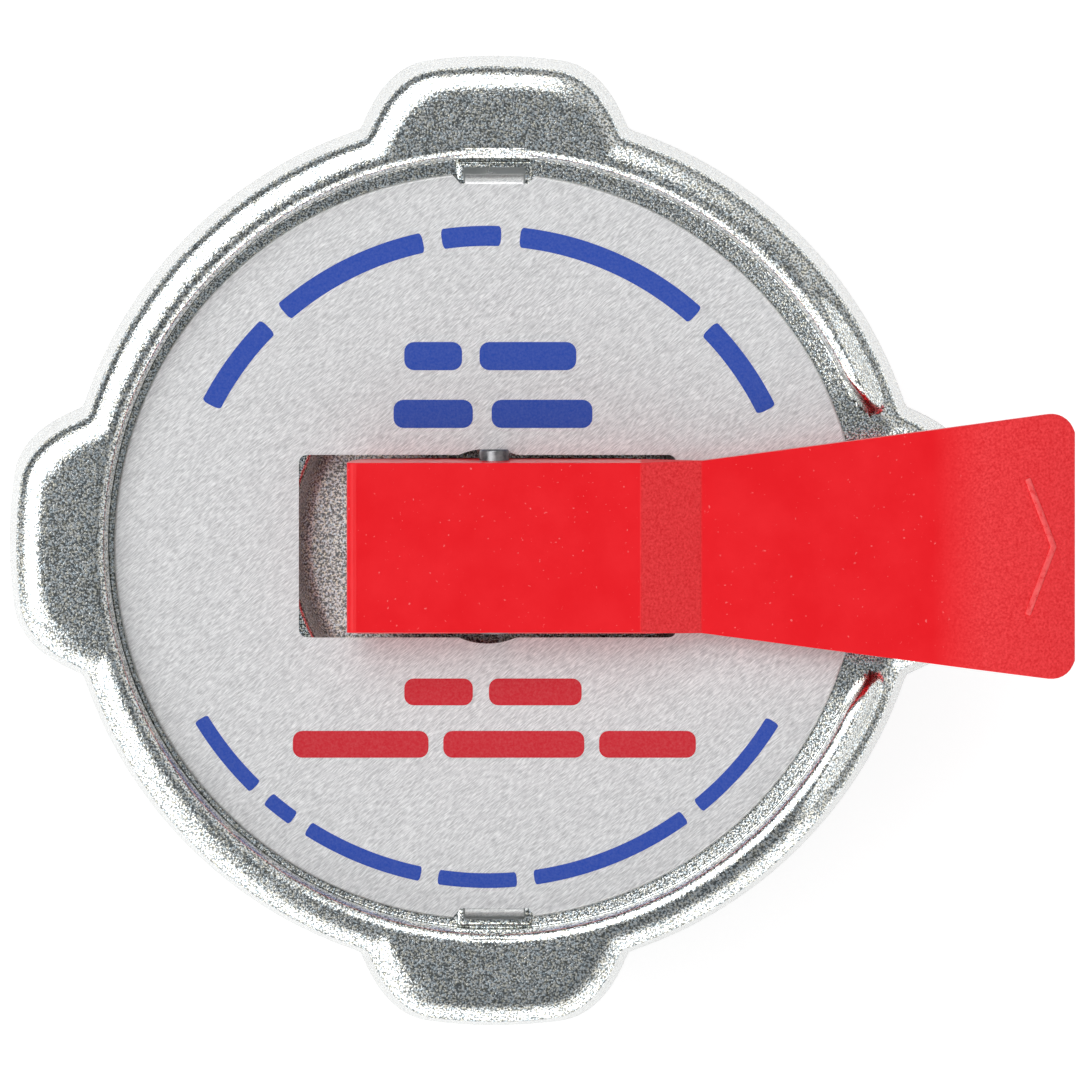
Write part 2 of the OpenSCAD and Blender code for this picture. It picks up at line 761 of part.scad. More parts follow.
module main_spring() {
    color("slategray")
        coil(spring_r, wire_d, spring_low_z, spring_top_z, main_turns, 18, 8);
}

module lift_cage() {
    out_r = cage_r + cage_t;
    windows = 3;
    window_low = valve_top_z + cage_t + 1;
    window_high = cage_roof_z - 1;
    color("darkgoldenrod")
        difference() {
            rotate_extrude()
                polygon([
                    [cage_r, valve_top_z], [out_r + cage_flange, valve_top_z],
                    [out_r + cage_flange, valve_top_z + cage_t], [out_r, valve_top_z + cage_t],
                    [out_r, cage_roof_z + cage_t], [stem_r + 0.3, cage_roof_z + cage_t],
                    [stem_r + 0.3, cage_roof_z], [cage_r, cage_roof_z]
                ]);
            for (i = [0 : windows - 1])
                rotate(360 * i / windows)
                    translate([0, -window_w / 2, window_low])
                        cube([2 * cage_r, window_w, window_high - window_low]);
        }
}

module valve_plate() {
    ridge_in = spring_r - wire_d / 2 - 1.6;
    ridge_out = spring_r - wire_d / 2 - 0.3;
    flow_r = 0.8;
    flow_mid_r = boss_bore_r - flow_r - 0.2;
    color("goldenrod")
        difference() {
            rotate_extrude()
                polygon([
                    [guide_r, valve_low_z], [boss_bore_r, valve_low_z], [boss_bore_r, lip_z],
                    [boss_r + lip_w, lip_z], [boss_r + lip_w, lip_z + lip_t], [boss_r, lip_z + lip_t],
                    [boss_r, valve_low_z], [valve_r, valve_low_z], [valve_r, valve_top_z],
                    [ridge_out, valve_top_z], [ridge_out - ridge_h / 2, valve_top_z + ridge_h],
                    [ridge_in + ridge_h / 2, valve_top_z + ridge_h], [ridge_in, valve_top_z],
                    [guide_r, valve_top_z]
                ]);
            for (i = [0 : 3])
                rotate(90 * i)
                    translate([flow_mid_r, 0, valve_low_z - eps])
                        cylinder(r = flow_r, h = valve_t + 2 * eps);
        }
}

module pressure_gasket() {
    in_r = boss_r + fit_play;
    color("#1a1a1a")
        rotate_extrude()
            polygon([
                [in_r, valve_low_z], [gasket_r, valve_low_z], [gasket_r, -reach],
                [gasket_ring_r, -reach], [gasket_ring_r, valve_low_z - margin_t], [in_r, valve_low_z - margin_t]
            ]);
}

module gasket_retainer() {
    color("silver")
        ring(retainer_out_r, boss_r + run_play, retainer_z, retainer_z + retainer_t);
}

module vacuum_valve() {
    groove_in = 0.25;
    color("gold")
        rotate_extrude()
            polygon([
                [0, button_z], [button_r, button_z], [button_r, button_seal_z], [button_stem_r, button_seal_z],
                [button_stem_r, clip_z], [button_stem_r - groove_in, clip_z],
                [button_stem_r - groove_in, clip_z + clip_t], [button_stem_r, clip_z + clip_t],
                [button_stem_r, button_top_z - groove_in], [button_stem_r - groove_in, button_top_z],
                [0, button_top_z]
            ]);
}

module vacuum_seal() {
    color("#2b2b2b")
        ring(boss_r + lip_w + 0.4, boss_bore_r + 0.2, button_seal_z, lip_z);
}

module vacuum_spring() {
    mid_r = guide_r + vacuum_wire_d / 2 + 0.2;
    color("slategray")
        coil(mid_r, vacuum_wire_d, valve_top_z + coil_gap, clip_z - coil_gap, vacuum_turns, 12, 6);
}

module vacuum_clip() {
    in_r = button_stem_r - 0.2;
    color("dimgray")
        difference() {
            ring(clip_r, in_r, clip_z, clip_z + clip_t);
            translate([0, -in_r * 0.8, clip_z - eps])
                cube([2 * clip_r, in_r * 1.6, clip_t + 2 * eps]);
        }
}

shell();
name_plate();
lever();
pivot_pin();
stem();
centre_bush();
stem_seal();
diaphragm();
neck_gasket();
spring_bell();
main_spring();
lift_cage();
valve_plate();
pressure_gasket();
gasket_retainer();
vacuum_valve();
vacuum_seal();
vacuum_spring();
vacuum_clip();
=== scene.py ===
import math

import bpy
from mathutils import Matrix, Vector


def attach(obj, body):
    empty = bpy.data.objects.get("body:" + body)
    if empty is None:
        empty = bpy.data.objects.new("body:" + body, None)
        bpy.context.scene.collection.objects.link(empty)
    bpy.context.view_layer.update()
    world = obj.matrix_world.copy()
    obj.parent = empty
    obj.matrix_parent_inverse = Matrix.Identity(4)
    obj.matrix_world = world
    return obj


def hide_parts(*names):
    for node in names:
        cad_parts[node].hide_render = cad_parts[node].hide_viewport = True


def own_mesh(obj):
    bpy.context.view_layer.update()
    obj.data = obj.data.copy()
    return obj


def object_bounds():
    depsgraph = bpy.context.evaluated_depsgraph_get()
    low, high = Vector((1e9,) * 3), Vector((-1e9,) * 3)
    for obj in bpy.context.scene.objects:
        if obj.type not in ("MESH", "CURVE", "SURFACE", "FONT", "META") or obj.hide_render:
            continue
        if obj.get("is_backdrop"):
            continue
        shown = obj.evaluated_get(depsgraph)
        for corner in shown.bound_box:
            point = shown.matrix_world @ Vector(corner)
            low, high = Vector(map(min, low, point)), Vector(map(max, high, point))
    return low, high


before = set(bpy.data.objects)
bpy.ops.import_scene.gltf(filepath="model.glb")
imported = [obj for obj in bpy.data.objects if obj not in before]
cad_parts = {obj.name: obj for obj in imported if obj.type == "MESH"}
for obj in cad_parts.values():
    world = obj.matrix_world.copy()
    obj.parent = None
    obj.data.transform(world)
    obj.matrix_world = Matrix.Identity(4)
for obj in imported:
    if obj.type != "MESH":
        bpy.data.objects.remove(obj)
cad_low, cad_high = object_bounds()
mm = 0.001

# Shell: one stamping of zinc-plated steel sheet with four finger lobes, drawn down to a sunk panel and a central well.
# The bead round the panel stops short on both sides of the lever. The skirt hangs over the filler neck.
sheet, shell_r, skirt_low = 0.8, 32.4, -4.6
lobe_reach, lobe_tip_w, lobe_foot_w, lobe_square, flank_share = 3.9, 10.1, 20.2, 0.6, 0.8
panel_z, bead_rise, crown_in_r, crown_out_r = 6.0, 3.4, 29.73, 29.75
bead_z = panel_z + bead_rise
gap_half, nose_deg, nose_lag, nose_power = 19.2, 5.0, 3.2, 0.75
low_rim_r, low_rim_start, low_rim_end = 31.0, 19.5, 44
weld, smooth_at = 2e-7, 35


def fresh(add, name, **where):
    """Add one primitive with nothing else selected, and name it."""
    if bpy.context.object and bpy.context.object.mode != "OBJECT":
        bpy.ops.object.mode_set(mode="OBJECT")
    bpy.ops.object.select_all(action="DESELECT")
    add(**where)
    piece = bpy.context.object
    piece.name = piece.data.name = name
    return piece


def choose(piece):
    """Make one piece the only selected and active one."""
    bpy.ops.object.select_all(action="DESELECT")
    piece.select_set(True)
    bpy.context.view_layer.objects.active = piece


def chain(name, points):
    """A run of edges through points in millimetres, drawn by extruding one vertex. It is left in edit mode."""
    piece = fresh(bpy.ops.mesh.primitive_plane_add, name, size=mm)
    bpy.ops.object.mode_set(mode="EDIT")
    bpy.ops.mesh.select_all(action="SELECT")
    bpy.ops.mesh.merge(type="CENTER")
    last = (0, 0, 0)
    for i, point in enumerate(points):
        step = [(b - a) * mm for a, b in zip(last, point)]
        if i == 0:
            bpy.ops.transform.translate(value=step)
        else:
            bpy.ops.mesh.extrude_region_move(TRANSFORM_OT_translate={"value": step})
        last = point
    return piece


def close_up(piece, smooth_deg=smooth_at):
    """Merge doubles, turn the faces outwards, leave edit mode and shade the curves smooth."""
    bpy.ops.mesh.select_all(action="SELECT")
    bpy.ops.mesh.remove_doubles(threshold=weld)
    bpy.ops.mesh.normals_make_consistent(inside=False)
    bpy.ops.object.mode_set(mode="OBJECT")
    choose(piece)
    bpy.ops.object.shade_smooth_by_angle(angle=math.radians(smooth_deg))
    return piece


def spun(name, outline, steps=128, smooth_deg=smooth_at):
    """Spin a closed outline of (radius, height) in millimetres once round the Z axis."""
    piece = chain(name, [(p[0], 0, p[1]) for p in [*outline, outline[0]]])
    bpy.ops.mesh.select_all(action="SELECT")
    bpy.ops.mesh.remove_doubles(threshold=weld)
    bpy.ops.mesh.select_all(action="SELECT")
    bpy.ops.mesh.spin(steps=steps, angle=2 * math.pi, center=(0, 0, 0), axis=(0, 0, 1), use_auto_merge=True)
    return close_up(piece, smooth_deg)


def rounded(corners, radius, cuts=4):
    """A closed outline with its corners rounded. A corner's third number is a radius of its own."""
    out = []
    for i, corner in enumerate(corners):
        px, py = corner[0], corner[1]
        r = corner[2] if len(corner) > 2 else radius
        ax, ay = corners[i - 1][0] - px, corners[i - 1][1] - py
        bx, by = corners[(i + 1) % len(corners)][0] - px, corners[(i + 1) % len(corners)][1] - py
        la, lb = math.hypot(ax, ay), math.hypot(bx, by)
        ax, ay, bx, by = ax / la, ay / la, bx / lb, by / lb
        half = math.acos(max(-1, min(1, ax * bx + ay * by))) / 2
        if r <= 0 or half > 1.55:
            out.append((px, py))
            continue
        reach = min(r / math.tan(half), 0.48 * la, 0.48 * lb)
        r = reach * math.tan(half)
        mx, my = ax + bx, ay + by
        lm = math.hypot(mx, my)
        cx, cy = px + mx / lm * r / math.sin(half), py + my / lm * r / math.sin(half)
        start = math.atan2(py + ay * reach - cy, px + ax * reach - cx)
        turn = math.atan2(py + by * reach - cy, px + bx * reach - cx) - start
        turn = (turn + math.pi) % (2 * math.pi) - math.pi
        out += [(cx + r * math.cos(start + turn * k / cuts), cy + r * math.sin(start + turn * k / cuts))
                for k in range(cuts + 1)]
    return out


def carve(piece, cutter, operation="DIFFERENCE"):
    """Cut one piece with another, or join them, and throw the cutter away."""
    choose(piece)
    cut = piece.modifiers.new("cut", "BOOLEAN")
    cut.operation, cut.solver, cut.object = operation, "EXACT", cutter
    bpy.ops.object.modifier_apply(modifier=cut.name)
    bpy.data.objects.remove(cutter)
    choose(piece)
    bpy.ops.object.shade_smooth_by_angle(angle=math.radians(smooth_at))


def block(name, low, high, bevel=0.0, segments=2):
    """A box between two corners in millimetres, with its edges bevelled."""
    size = [b - a for a, b in zip(low, high)]
    middle = [(a + b) / 2 for a, b in zip(low, high)]
    piece = fresh(bpy.ops.mesh.primitive_cube_add, name, size=1)
    bpy.ops.object.mode_set(mode="EDIT")
    bpy.ops.transform.resize(value=[s * mm for s in size])
    bpy.ops.transform.translate(value=[m * mm for m in middle])
    if bevel:
        bpy.ops.mesh.bevel(offset=bevel * mm, segments=segments, affect="EDGES")
    bpy.ops.object.mode_set(mode="OBJECT")
    return piece


def rod(name, radius, low, high, axis="Z", at=(0, 0), sides=64):
    """A plain round rod along one axis between two places in millimetres, used to cut or to be shaped further."""
    turn = {"X": (0, math.pi / 2, 0), "Y": (math.pi / 2, 0, 0), "Z": (0, 0, 0)}[axis]
    middle = (low + high) / 2
    place = {"X": (middle, *at), "Y": (at[0], middle, at[1]), "Z": (*at, middle)}[axis]
    piece = fresh(bpy.ops.mesh.primitive_cylinder_add, name, vertices=sides, radius=radius * mm,
                  depth=(high - low) * mm, rotation=turn, location=[p * mm for p in place])
    bpy.ops.object.transform_apply(location=True, rotation=True, scale=True)
    return piece


def smoothstep(s):
    """A share from 0 to 1 that starts and ends gently."""
    s = min(max(s, 0), 1)
    return s * s * (3 - 2 * s)


def outline_r(deg, inset):
    """Radius of the lobed outline at an angle, drawn in by a distance."""
    off_lobe = abs(deg - 90 * round(deg / 90))
    narrow = 2 * inset * flank_share
    tip = math.degrees(math.asin((lobe_tip_w - narrow) / 2 / (shell_r + lobe_reach - inset)))
    foot = math.degrees(math.asin((lobe_foot_w - narrow) / 2 / (shell_r - inset)))
    return shell_r - inset + lobe_reach * smoothstep((max(foot - off_lobe, 0) / (foot - tip)) ** lobe_square)


def turned_down(x, z, way, arcs):
    """Points of a surface that starts level and turns down in arcs, each with its radius, end slope and points."""
    points, slope = [], 0
    for arc_r, arc_end, count in arcs:
        a = math.radians(slope)
        for k in range(1, count + 1):
            b = math.radians(slope + (arc_end - slope) * k / count)
            points.append((x + way * arc_r * (math.sin(b) - math.sin(a)), z - arc_r * (math.cos(a) - math.cos(b)), 0))
        x, z, slope = points[-1][0], points[-1][1], arc_end
    return points


# The section is drawn where the sheet is round and the bead is full.
well = [(3.85, 1.7, 0.1), (5.3, 1.7, 0.3), (5.8, 2.3, 0.3), (14.3, 2.3, 1.0), (15.05, panel_z, 0.45)]
inner = turned_down(crown_in_r, bead_z, -1, ((1.13, 36, 5), (0.2, 62, 3), (6, 68, 3), (0.3, 88, 2)))
wall_r = inner[-1][0]
bead = [(wall_r, panel_z, 0.12), *reversed(inner), (crown_in_r, bead_z, 0)]
crown = [(crown_in_r + (crown_out_r - crown_in_r) * i / 6, bead_z, 0) for i in range(1, 7)]
brow = turned_down(crown_out_r, bead_z, 1, ((2.9, 27, 5), (1.75, 47, 4), (0.42, 87, 4)))
shoulder_r, shoulder_z = brow[-1][:2]
under_in_r, under_out_r, under_w, under_h = 29.9, 29.95, 0.95, 0.9
skirt = [(shoulder_r + (shell_r - shoulder_r) * t, shoulder_z + (skirt_low - shoulder_z) * t, 0)
         for t in (0.2, 0.4, 0.6, 0.8)]
edge = [(shell_r, skirt_low, 0.2), (shell_r - sheet, skirt_low, 0.2)]
skirt_in = [(x - sheet, z, 0) for x, z, _ in reversed(skirt)]
brow_in = [(under_out_r + under_w * math.sin(t), bead_z - sheet - under_h * (1 - math.cos(t)), 0)
           for t in (math.radians(90 - 10 * i) for i in range(9))]
crown_in = [(under_out_r - (under_out_r - under_in_r) * i / 4, bead_z - sheet, 0) for i in range(0, 4)]
under = [(under_in_r, bead_z - sheet, 0.5), (wall_r + sheet, panel_z - sheet, 0.4), (15.70, panel_z - sheet, 0.5),
         (14.95, 1.5, 0.5), (6.17, 1.5, 0.3), (5.67, 0.9, 0.3), (3.85, 0.9, 0.1)]
section = rounded([*well, *bead, *crown, *brow, *skirt, *edge, *skirt_in, *brow_in, *crown_in, *under], 0.3, cuts=5)
upper_count = len(rounded([*well, *bead, *crown, *brow, *skirt, *edge], 0.3, cuts=5)) - 6


def formed(i, deg):
    """Radius and height of the section's point i at an angle round the shell.

    Beside the lever the bead sinks to the panel in two rounded noses, and the rim outside it sinks earlier.
    """
    r, z = section[i]
    upper = i < upper_count
    base = panel_z if upper else panel_z - sheet
    if r < wall_r - 1:
        return r, z
    lag = nose_lag * min(max((crown_out_r - r) / (crown_out_r - wall_r), 0), 1) ** 2
    off_lever = min(deg % 360, 360 - deg % 360)
    left = 1 - min(max((off_lever - gap_half - lag) / nose_deg, 0), 1)
    full = (1 - left ** 2) ** nose_power
    rim_full = smoothstep((off_lever - low_rim_start) / (low_rim_end - low_rim_start))
    full += (rim_full - full) * smoothstep((r - crown_out_r) / (low_rim_r - crown_out_r))
    start, end = (crown_in_r, crown_out_r) if upper else (under_in_r, under_out_r)
    if z < shoulder_z and r > under_out_r + 0.5:
        share = min((z - skirt_low) / (shoulder_z - skirt_low), 1)
    elif r > start:
        share = 1
    else:
        share = min(max((z - base) / bead_rise, 0), 1)
    z -= bead_rise * (1 - full) * share
    if r >= end - 1e-6:
        r = outline_r(deg, shell_r - r)
    elif r > start:
        r = start + (r - start) / (end - start) * (outline_r(deg, shell_r - end) - start)
    return r, z


shell = spun("shell_sheet", section, steps=540, smooth_deg=50)
lookup = {}
for v in shell.data.vertices:
    r, z = math.hypot(v.co.x, v.co.y) / mm, v.co.z / mm
    key = (round(r, 3), round(z, 3))
    if key not in lookup:
        lookup[key] = min(range(len(section)), key=lambda i: (section[i][0] - r) ** 2 + (section[i][1] - z) ** 2)
    angle = math.atan2(v.co.y, v.co.x)
    r, z = formed(lookup[key], math.degrees(angle))
    v.co = (r * mm * math.cos(angle), r * mm * math.sin(angle), z * mm)
slot_half_w, slot_in, slot_out = 2.3, 26.8, 28.0
for side in (-1, 1):
    ends = sorted((side * slot_in, side * slot_out))
    carve(shell, block("slot_cut", (-slot_half_w, ends[0], panel_z - 2), (slot_half_w, ends[1], panel_z + 2), 0.15))


def material(name, colour, metallic=0.0, roughness=0.5):
    """A named material with its Principled shader and its Object coordinates, ready for a pattern."""
    made = bpy.data.materials.new(name)
    made.use_nodes = True
    nodes, links = made.node_tree.nodes, made.node_tree.links
    shader = nodes["Principled BSDF"]
    shader.inputs["Base Color"].default_value = (*colour, 1)
    shader.inputs["Metallic"].default_value = metallic
    shader.inputs["Roughness"].default_value = roughness
    return made, nodes, links, shader, nodes.new("ShaderNodeTexCoord").outputs["Object"]


def noise(nodes, links, place, scale, detail=3.0, rough=0.6, stretch=None, turn=0.0):
    """A noise pattern on the Object coordinates, stretched and turned about Z where asked."""
    texture = nodes.new("ShaderNodeTexNoise")
    texture.inputs["Scale"].default_value = scale
    texture.inputs["Detail"].default_value = detail
    texture.inputs["Roughness"].default_value = rough
    if stretch:
        mapping = nodes.new("ShaderNodeMapping")
        mapping.vector_type = "TEXTURE"
        mapping.inputs["Rotation"].default_value = (0, 0, turn)
        mapping.inputs["Scale"].default_value = stretch
        links.new(place, mapping.inputs["Vector"])
        place = mapping.outputs["Vector"]
    links.new(place, texture.inputs["Vector"])
    return texture.outputs["Fac"]


def ramp(nodes, links, source, stops):
    """A colour ramp over a pattern, from a list of (position, colour)."""
    bar = nodes.new("ShaderNodeValToRGB")
    while len(bar.color_ramp.elements) < len(stops):
        bar.color_ramp.elements.new(0.5)
    for element, (position, colour) in zip(bar.color_ramp.elements, stops):
        element.position = position
        element.color = (*colour, 1)
    links.new(source, bar.inputs["Fac"])
    return bar.outputs["Color"]


def span(nodes, links, source, low, high, to_low, to_high):
    """One range of numbers carried over to another."""
    carried = nodes.new("ShaderNodeMapRange")
    for socket, value in zip(("From Min", "From Max", "To Min", "To Max"), (low, high, to_low, to_high)):
        carried.inputs[socket].default_value = value
    links.new(source, carried.inputs["Value"])
    return carried.outputs["Result"]


def bump(nodes, links, shader, height, strength, distance):
    """Raise a pattern on the surface by a distance in millimetres."""
    raised = nodes.new("ShaderNodeBump")
    raised.inputs["Strength"].default_value = strength
    raised.inputs["Distance"].default_value = distance * mm
    links.new(height, raised.inputs["Height"])
    links.new(raised.outputs["Normal"], shader.inputs["Normal"])


def dress(piece, finish, body, slot, *nodes):
    """Give a piece its material, its body and the CAD nodes it stands for. The slot is not used."""
    piece.data.materials.clear()
    piece.data.materials.append(finish)
    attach(piece, body)
    if nodes:
        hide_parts(*nodes)


zinc, nodes, links, shader, place = material("zinc_plate", (0.74, 0.75, 0.75), 1.0, 0.17)
grain = noise(nodes, links, place, 7200, 2, 0.6)
speckle = ramp(nodes, links, grain,
               [(0.42, (0.17, 0.18, 0.18)), (0.5, (0.60, 0.61, 0.60)), (0.57, (1.0, 1.0, 0.99))])
tint = ramp(nodes, links, noise(nodes, links, place, 4300, 2, 0.6),
            [(0.36, (0.84, 0.94, 1.0)), (0.5, (0.97, 0.98, 0.98)), (0.64, (1.0, 0.97, 0.84))])
mixed = nodes.new("ShaderNodeMix")
mixed.data_type, mixed.blend_type = "RGBA", "MULTIPLY"
mixed.inputs["Factor"].default_value = 1
links.new(speckle, mixed.inputs["A"])
links.new(tint, mixed.inputs["B"])
links.new(mixed.outputs["Result"], shader.inputs["Base Color"])
# The well is dull, where the plating bath reached it last.
flat_place = nodes.new("ShaderNodeVectorMath")
flat_place.operation = "MULTIPLY"
flat_place.inputs[1].default_value = (1, 1, 0)
links.new(place, flat_place.inputs[0])
from_axis = nodes.new("ShaderNodeVectorMath")
from_axis.operation = "LENGTH"
links.new(flat_place.outputs["Vector"], from_axis.inputs[0])
out = from_axis.outputs["Value"]
links.new(span(nodes, links, out, 14 * mm, 15.5 * mm, 0.5, 0.17), shader.inputs["Roughness"])
links.new(span(nodes, links, out, 14.8 * mm, 15.3 * mm, 0.5, 1), shader.inputs["Metallic"])
bump(nodes, links, shader, grain, 0.7, 0.026)
dress(shell, zinc, "shell", "shell_steel", "shell")

# Cam tabs: two parts of the shell's lower edge bent in, which hook under the filler neck's flange as the cap is turned.
# They are the shell's own sheet, so they carry the same plating.
tab_in_r, tab_out_r, tab_deg, tab_middle, tab_low = 26.6, 32.0, 28, 45, -4.55


def outlined(name, points):
    """A flat face inside a closed outline of points in millimetres. It is left in edit mode."""
    piece = chain(name, [*points, points[0]])
    bpy.ops.mesh.select_all(action="SELECT")
    bpy.ops.mesh.remove_doubles(threshold=weld)
    bpy.ops.mesh.select_all(action="SELECT")
    bpy.ops.mesh.edge_face_add()
    return piece


def about_z(piece, deg):
    """Turn a piece's mesh about the Z axis."""
    c, s = math.cos(math.radians(deg)), math.sin(math.radians(deg))
    for v in piece.data.vertices:
        v.co.x, v.co.y = v.co.x * c - v.co.y * s, v.co.x * s + v.co.y * c


def opposite(piece, name):
    """A copy of a piece with a mesh of its own, half a turn away."""
    choose(piece)
    bpy.ops.object.duplicate()
    copy = bpy.context.object
    copy.name = copy.data.name = name
    about_z(copy, 180)
    return copy


tab_high = tab_low + sheet
tab_section = rounded([(tab_in_r, tab_low), (tab_out_r, tab_low), (tab_out_r, tab_high), (tab_in_r, tab_high)], 0.2)
tab = outlined("cam_tab_1", [(x, 0, z) for x, z in tab_section])
bpy.ops.mesh.spin(steps=24, angle=math.radians(tab_deg), center=(0, 0, 0), axis=(0, 0, 1))
close_up(tab)
bearings = [math.degrees(math.atan2(v.co.y, v.co.x)) for v in tab.data.vertices]
about_z(tab, tab_middle - (min(bearings) + max(bearings)) / 2)
for piece in (tab, opposite(tab, "cam_tab_2")):
    dress(piece, zinc, "shell", "shell_steel")

# Slot lips: the burr thrown up round each tongue slot when it was pierced, on three sides.
# Behind it the punch flattened a short straight pad into the foot of the bead.
lip_half_w, lip_in, lip_out, lip_rise = 2.83, 27.0, 28.45, 0.5
pad_half_w, pad_in, pad_out, pad_h, pad_drop, pad_taper = 3.65, 28.70, 29.45, 1.4, 0.39, 0.89
pad_top = bead_z - 0.02
lip = block("slot_lip_1", (-lip_half_w, lip_in, panel_z - 0.3), (lip_half_w, lip_out, panel_z + lip_rise), 0.22, 4)
carve(lip, block("lip_cut", (-slot_half_w, lip_in - 1, panel_z - 1), (slot_half_w, slot_out, panel_z + 1), 0.1, 2))
pad = block("coined_pad", (-pad_half_w, pad_in, bead_z - pad_h), (pad_half_w, pad_out, pad_top), 0.04, 2)
for v in pad.data.vertices:
    if v.co.y < (pad_in + pad_out) / 2 * mm:
        v.co.x *= pad_taper
        if v.co.z > (bead_z - pad_h / 2) * mm:
            v.co.z -= pad_drop * mm
carve(lip, pad, "UNION")
for piece in (lip, opposite(lip, "slot_lip_2")):
    dress(piece, zinc, "shell", "shell_steel")

# Diaphragm: a thin flat disc of spring steel over the neck gasket, clamped round its middle by the shell and the bell.
# It presses the gasket down evenly on the neck's lip.
diaphragm_in_r, diaphragm_r, diaphragm_low, diaphragm_top = 6.6, 28.6, 1.2, 1.5
sprung, nodes, links, shader, place = material("spring_steel_sheet", (0.55, 0.56, 0.58), 1.0, 0.32)
ring_lines = noise(nodes, links, place, 900, 3, 0.6)
links.new(span(nodes, links, ring_lines, 0.3, 0.7, 0.25, 0.42), shader.inputs["Roughness"])
bump(nodes, links, shader, ring_lines, 0.1, 0.01)
diaphragm = spun("spring_diaphragm", rounded([
    (diaphragm_in_r, diaphragm_low), (diaphragm_r, diaphragm_low), (diaphragm_r, diaphragm_top),
    (diaphragm_in_r, diaphragm_top)], 0.08, 2), 192)
dress(diaphragm, sprung, "shell", "diaphragm_steel", "diaphragm")

# Neck gasket: a moulded black rubber ring under the diaphragm, centred by the step of the bell.
# Its lower face seats on the neck's lip.
rubber, nodes, links, shader, place = material("black_rubber", (0.022, 0.022, 0.023), 0.0, 0.62)
dust = noise(nodes, links, place, 1400, 4, 0.65)
dusty = ramp(nodes, links, dust, [(0.35, (0.014, 0.014, 0.015)), (0.7, (0.045, 0.044, 0.042))])
links.new(dusty, shader.inputs["Base Color"])
links.new(span(nodes, links, dust, 0.3, 0.7, 0.5, 0.75), shader.inputs["Roughness"])
bump(nodes, links, shader, dust, 0.3, 0.02)
neck_gasket = spun("neck_gasket_ring", rounded(
    [(15.6, 0.3), (19.8, 0.3), (20.1, 0), (28.3, 0), (28.3, 1.2), (15.6, 1.2)], 0.25), 192)
dress(neck_gasket, rubber, "shell", "black_rubber", "neck_gasket")

# Spring bell: a deep-drawn zinc-plated steel cup with a flared edge, fixed to the shell by the centre bush.
# It holds the main spring's upper coil, and six vent holes in its wall let the coolant through.
vent_count, vent_r, vent_z, vent_first = 6, 2.3, -5.17, 30
bell_steel, nodes, links, shader, place = material("bell_zinc", (0.6, 0.61, 0.62), 1.0, 0.3)
drawn = noise(nodes, links, place, 900, 3, 0.6, stretch=(1, 1, 12))
drawn_grey = ramp(nodes, links, drawn, [(0.3, (0.48, 0.49, 0.50)), (0.7, (0.74, 0.74, 0.73))])
links.new(drawn_grey, shader.inputs["Base Color"])
links.new(span(nodes, links, drawn, 0.3, 0.7, 0.22, 0.38), shader.inputs["Roughness"])
bump(nodes, links, shader, drawn, 0.15, 0.01)
bell = spun("spring_bell_cup", rounded([
    (3.85, 0.9, 0.1), (5.8, 0.9), (6.3, 1.2), (14.8, 1.2, 0.5), (15.3, 0.7), (15.3, 0.3, 0.2), (18.7, 0.3, 0.5),
    (19.2, -0.2), (19.2, -8.9), (19.7, -9.4, 0.1), (19.0, -9.4, 0.1), (18.5, -8.9), (18.5, -0.4, 0.3),
    (14.6, -0.4, 0.2), (14.6, 0.5, 0.2), (6.3, 0.5), (5.8, 0.2), (3.85, 0.2, 0.1)], 0.3), 160)
for i in range(vent_count):
    vent = rod("vent_cut", vent_r, 17, 21, "X", (0, vent_z), 40)
    about_z(vent, vent_first + 360 / vent_count * i)
    carve(bell, vent)
dress(bell, bell_steel, "shell", "bell_steel", "spring_bell")

# Centre bush: a turned brass bush riveted through the shell and the bell, which holds the stack together.
# The stem slides in it, sealed by a round rubber ring in the bush's groove.
seal_mid_r, seal_wire_r, seal_z = 2.5, 0.45, 0.95
brass, nodes, links, shader, place = material("stamped_brass", (0.62, 0.44, 0.18), 1.0, 0.3)
tarnish = noise(nodes, links, place, 320, 4, 0.6)
tarnished = ramp(nodes, links, tarnish, [(0.3, (0.46, 0.31, 0.12)), (0.7, (0.74, 0.55, 0.25))])
links.new(tarnished, shader.inputs["Base Color"])
links.new(span(nodes, links, tarnish, 0.3, 0.7, 0.24, 0.42), shader.inputs["Roughness"])
bump(nodes, links, shader, noise(nodes, links, place, 3000, 2, 0.5), 0.12, 0.01)
bush = spun("stem_bush", rounded([
    (2.1, -0.3), (5, -0.3), (5, 0.2), (3.8, 0.2, 0), (3.8, 1.7, 0), (5, 1.7), (5, 2.2), (2.1, 2.2),
    (2.1, 1.5, 0), (2.97, 1.5, 0), (2.97, 0.4, 0), (2.1, 0.4, 0)], 0.15, 3), 72)
dress(bush, brass, "shell", "bush_brass", "centre_bush")
seal_turns = [math.radians(30 * k) for k in range(12)]
seal_ring = spun("stem_seal_ring", [(seal_mid_r + seal_wire_r * math.cos(a), seal_z + seal_wire_r * math.sin(a))
                                    for a in seal_turns], 64, 60)
dress(seal_ring, rubber, "shell", "black_rubber", "stem_seal")

